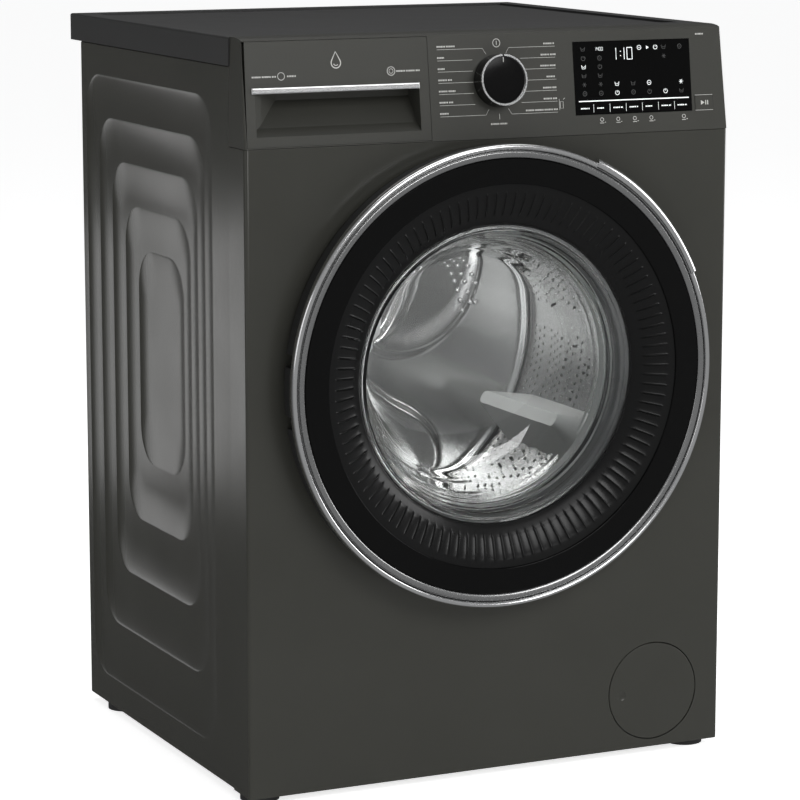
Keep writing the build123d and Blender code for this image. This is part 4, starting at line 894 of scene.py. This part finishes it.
def make_world():
    """White backdrop to the camera; for light, a grey studio that is darker to the rear."""
    world = bpy.data.worlds.new("studio")
    world.use_nodes = True
    tree = world.node_tree
    studio = tree.nodes["Background"]
    studio.inputs["Color"].default_value = (0.98, 0.99, 1.0, 1.0)
    place = tree.nodes.new("ShaderNodeTexCoord")
    split = tree.nodes.new("ShaderNodeSeparateXYZ")
    spread = tree.nodes.new("ShaderNodeMapRange")
    spread.interpolation_type = "SMOOTHSTEP"
    limits = {"From Min": -0.5, "From Max": 0.5, "To Min": 0.32, "To Max": 0.09}
    for socket, value in limits.items():
        spread.inputs[socket].default_value = value
    tree.links.new(place.outputs["Generated"], split.inputs["Vector"])
    tree.links.new(split.outputs["Y"], spread.inputs["Value"])
    tree.links.new(spread.outputs["Result"], studio.inputs["Strength"])
    white = tree.nodes.new("ShaderNodeBackground")
    white.inputs["Strength"].default_value = 1.05
    white.inputs["Color"].default_value = (1.0, 1.0, 1.0, 1.0)
    path = tree.nodes.new("ShaderNodeLightPath")
    mix = tree.nodes.new("ShaderNodeMixShader")
    tree.links.new(path.outputs["Is Camera Ray"], mix.inputs["Fac"])
    tree.links.new(studio.outputs["Background"], mix.inputs[1])
    tree.links.new(white.outputs["Background"], mix.inputs[2])
    tree.links.new(mix.outputs["Shader"], tree.nodes["World Output"].inputs["Surface"])
    bpy.context.scene.world = world


def make_lights():
    """Soft boxes round the machine, and a small lamp in the drum."""
    middle = (0.0, 0.0, 0.45)
    add_softbox("rear_left_strip", (-0.96, 1.40, 0.23), (-0.3, 0.05, 0.45), (0.50, 0.42), 1.05)
    add_softbox("left_fill", (-3.4, -0.6, 1.3), middle, (1.6, 1.6), 8)
    add_softbox("right_fill", (3.2, -0.9, 1.5), middle, (1.2, 1.8), 27)
    add_softbox("front_key", (0.6, -3.4, 2.4), middle, (2.2, 1.6), 62)
    add_softbox("top_fill", (0.3, 0.5, 3.2), middle, (2.6, 2.6), 36)
    add_softbox("drum_lamp", (0.02, -0.14, 0.60), (0.03, 0.16, 0.50), (0.10, 0.02), 0.75)


def make_floor():
    """Wide pale floor that fades into the backdrop."""
    half = 60.0
    points = [(-half, -half, 0), (half, -half, 0), (half, half, 0), (-half, half, 0)]
    mesh = bpy.data.meshes.new("floor")
    mesh.from_pydata(points, [], [(0, 1, 2, 3)])
    material, tree, shader = new_material("floor_paper", (0.9, 0.9, 0.9), 0.8)
    shader.inputs["Emission Color"].default_value = (1.0, 1.0, 1.0, 1.0)
    shader.inputs["Emission Strength"].default_value = 0.78
    vary(tree, shader, add_noise(tree, 3.0), "Roughness", 0.75, 0.85)
    mesh.materials.append(material)
    floor = bpy.data.objects.new("floor", mesh)
    floor.visible_glossy = False
    bpy.context.scene.collection.objects.link(floor)


def make_camera():
    """Long-lens view from the front left, slightly above."""
    azimuth, elevation, distance = math.radians(-25.34), math.radians(9.97), 3.8812
    low, high = CAD_BOX
    aim = (Vector(low) + Vector(high)) / 2 + Vector((0.0024, -0.0061, -0.0270))
    ahead = Vector((
        -math.sin(azimuth) * math.cos(elevation),
        math.cos(azimuth) * math.cos(elevation),
        -math.sin(elevation),
    ))
    data = bpy.data.cameras.new("camera")
    data.lens = 147.0
    data.sensor_width = 36.0
    camera = bpy.data.objects.new("camera", data)
    camera.location = aim - ahead * distance
    camera.rotation_euler = ahead.to_track_quat("-Z", "Y").to_euler()
    bpy.context.scene.collection.objects.link(camera)
    bpy.context.scene.camera = camera


dress_cad_nodes()
soften_edges()
make_side_panel(-1)
make_side_panel(1)
make_door_ring()
make_door_cover()
make_door_glass()
make_handle()
make_drum_wall()
make_drum_back()
make_drum_bumps()
make_drum_mouth()
make_gasket()
make_knob()
make_fascia_print()
make_drawer_print()
make_display()
make_key_print()
make_world()
make_lights()
make_floor()
make_camera()
bpy.context.scene.view_settings.view_transform = "Standard"
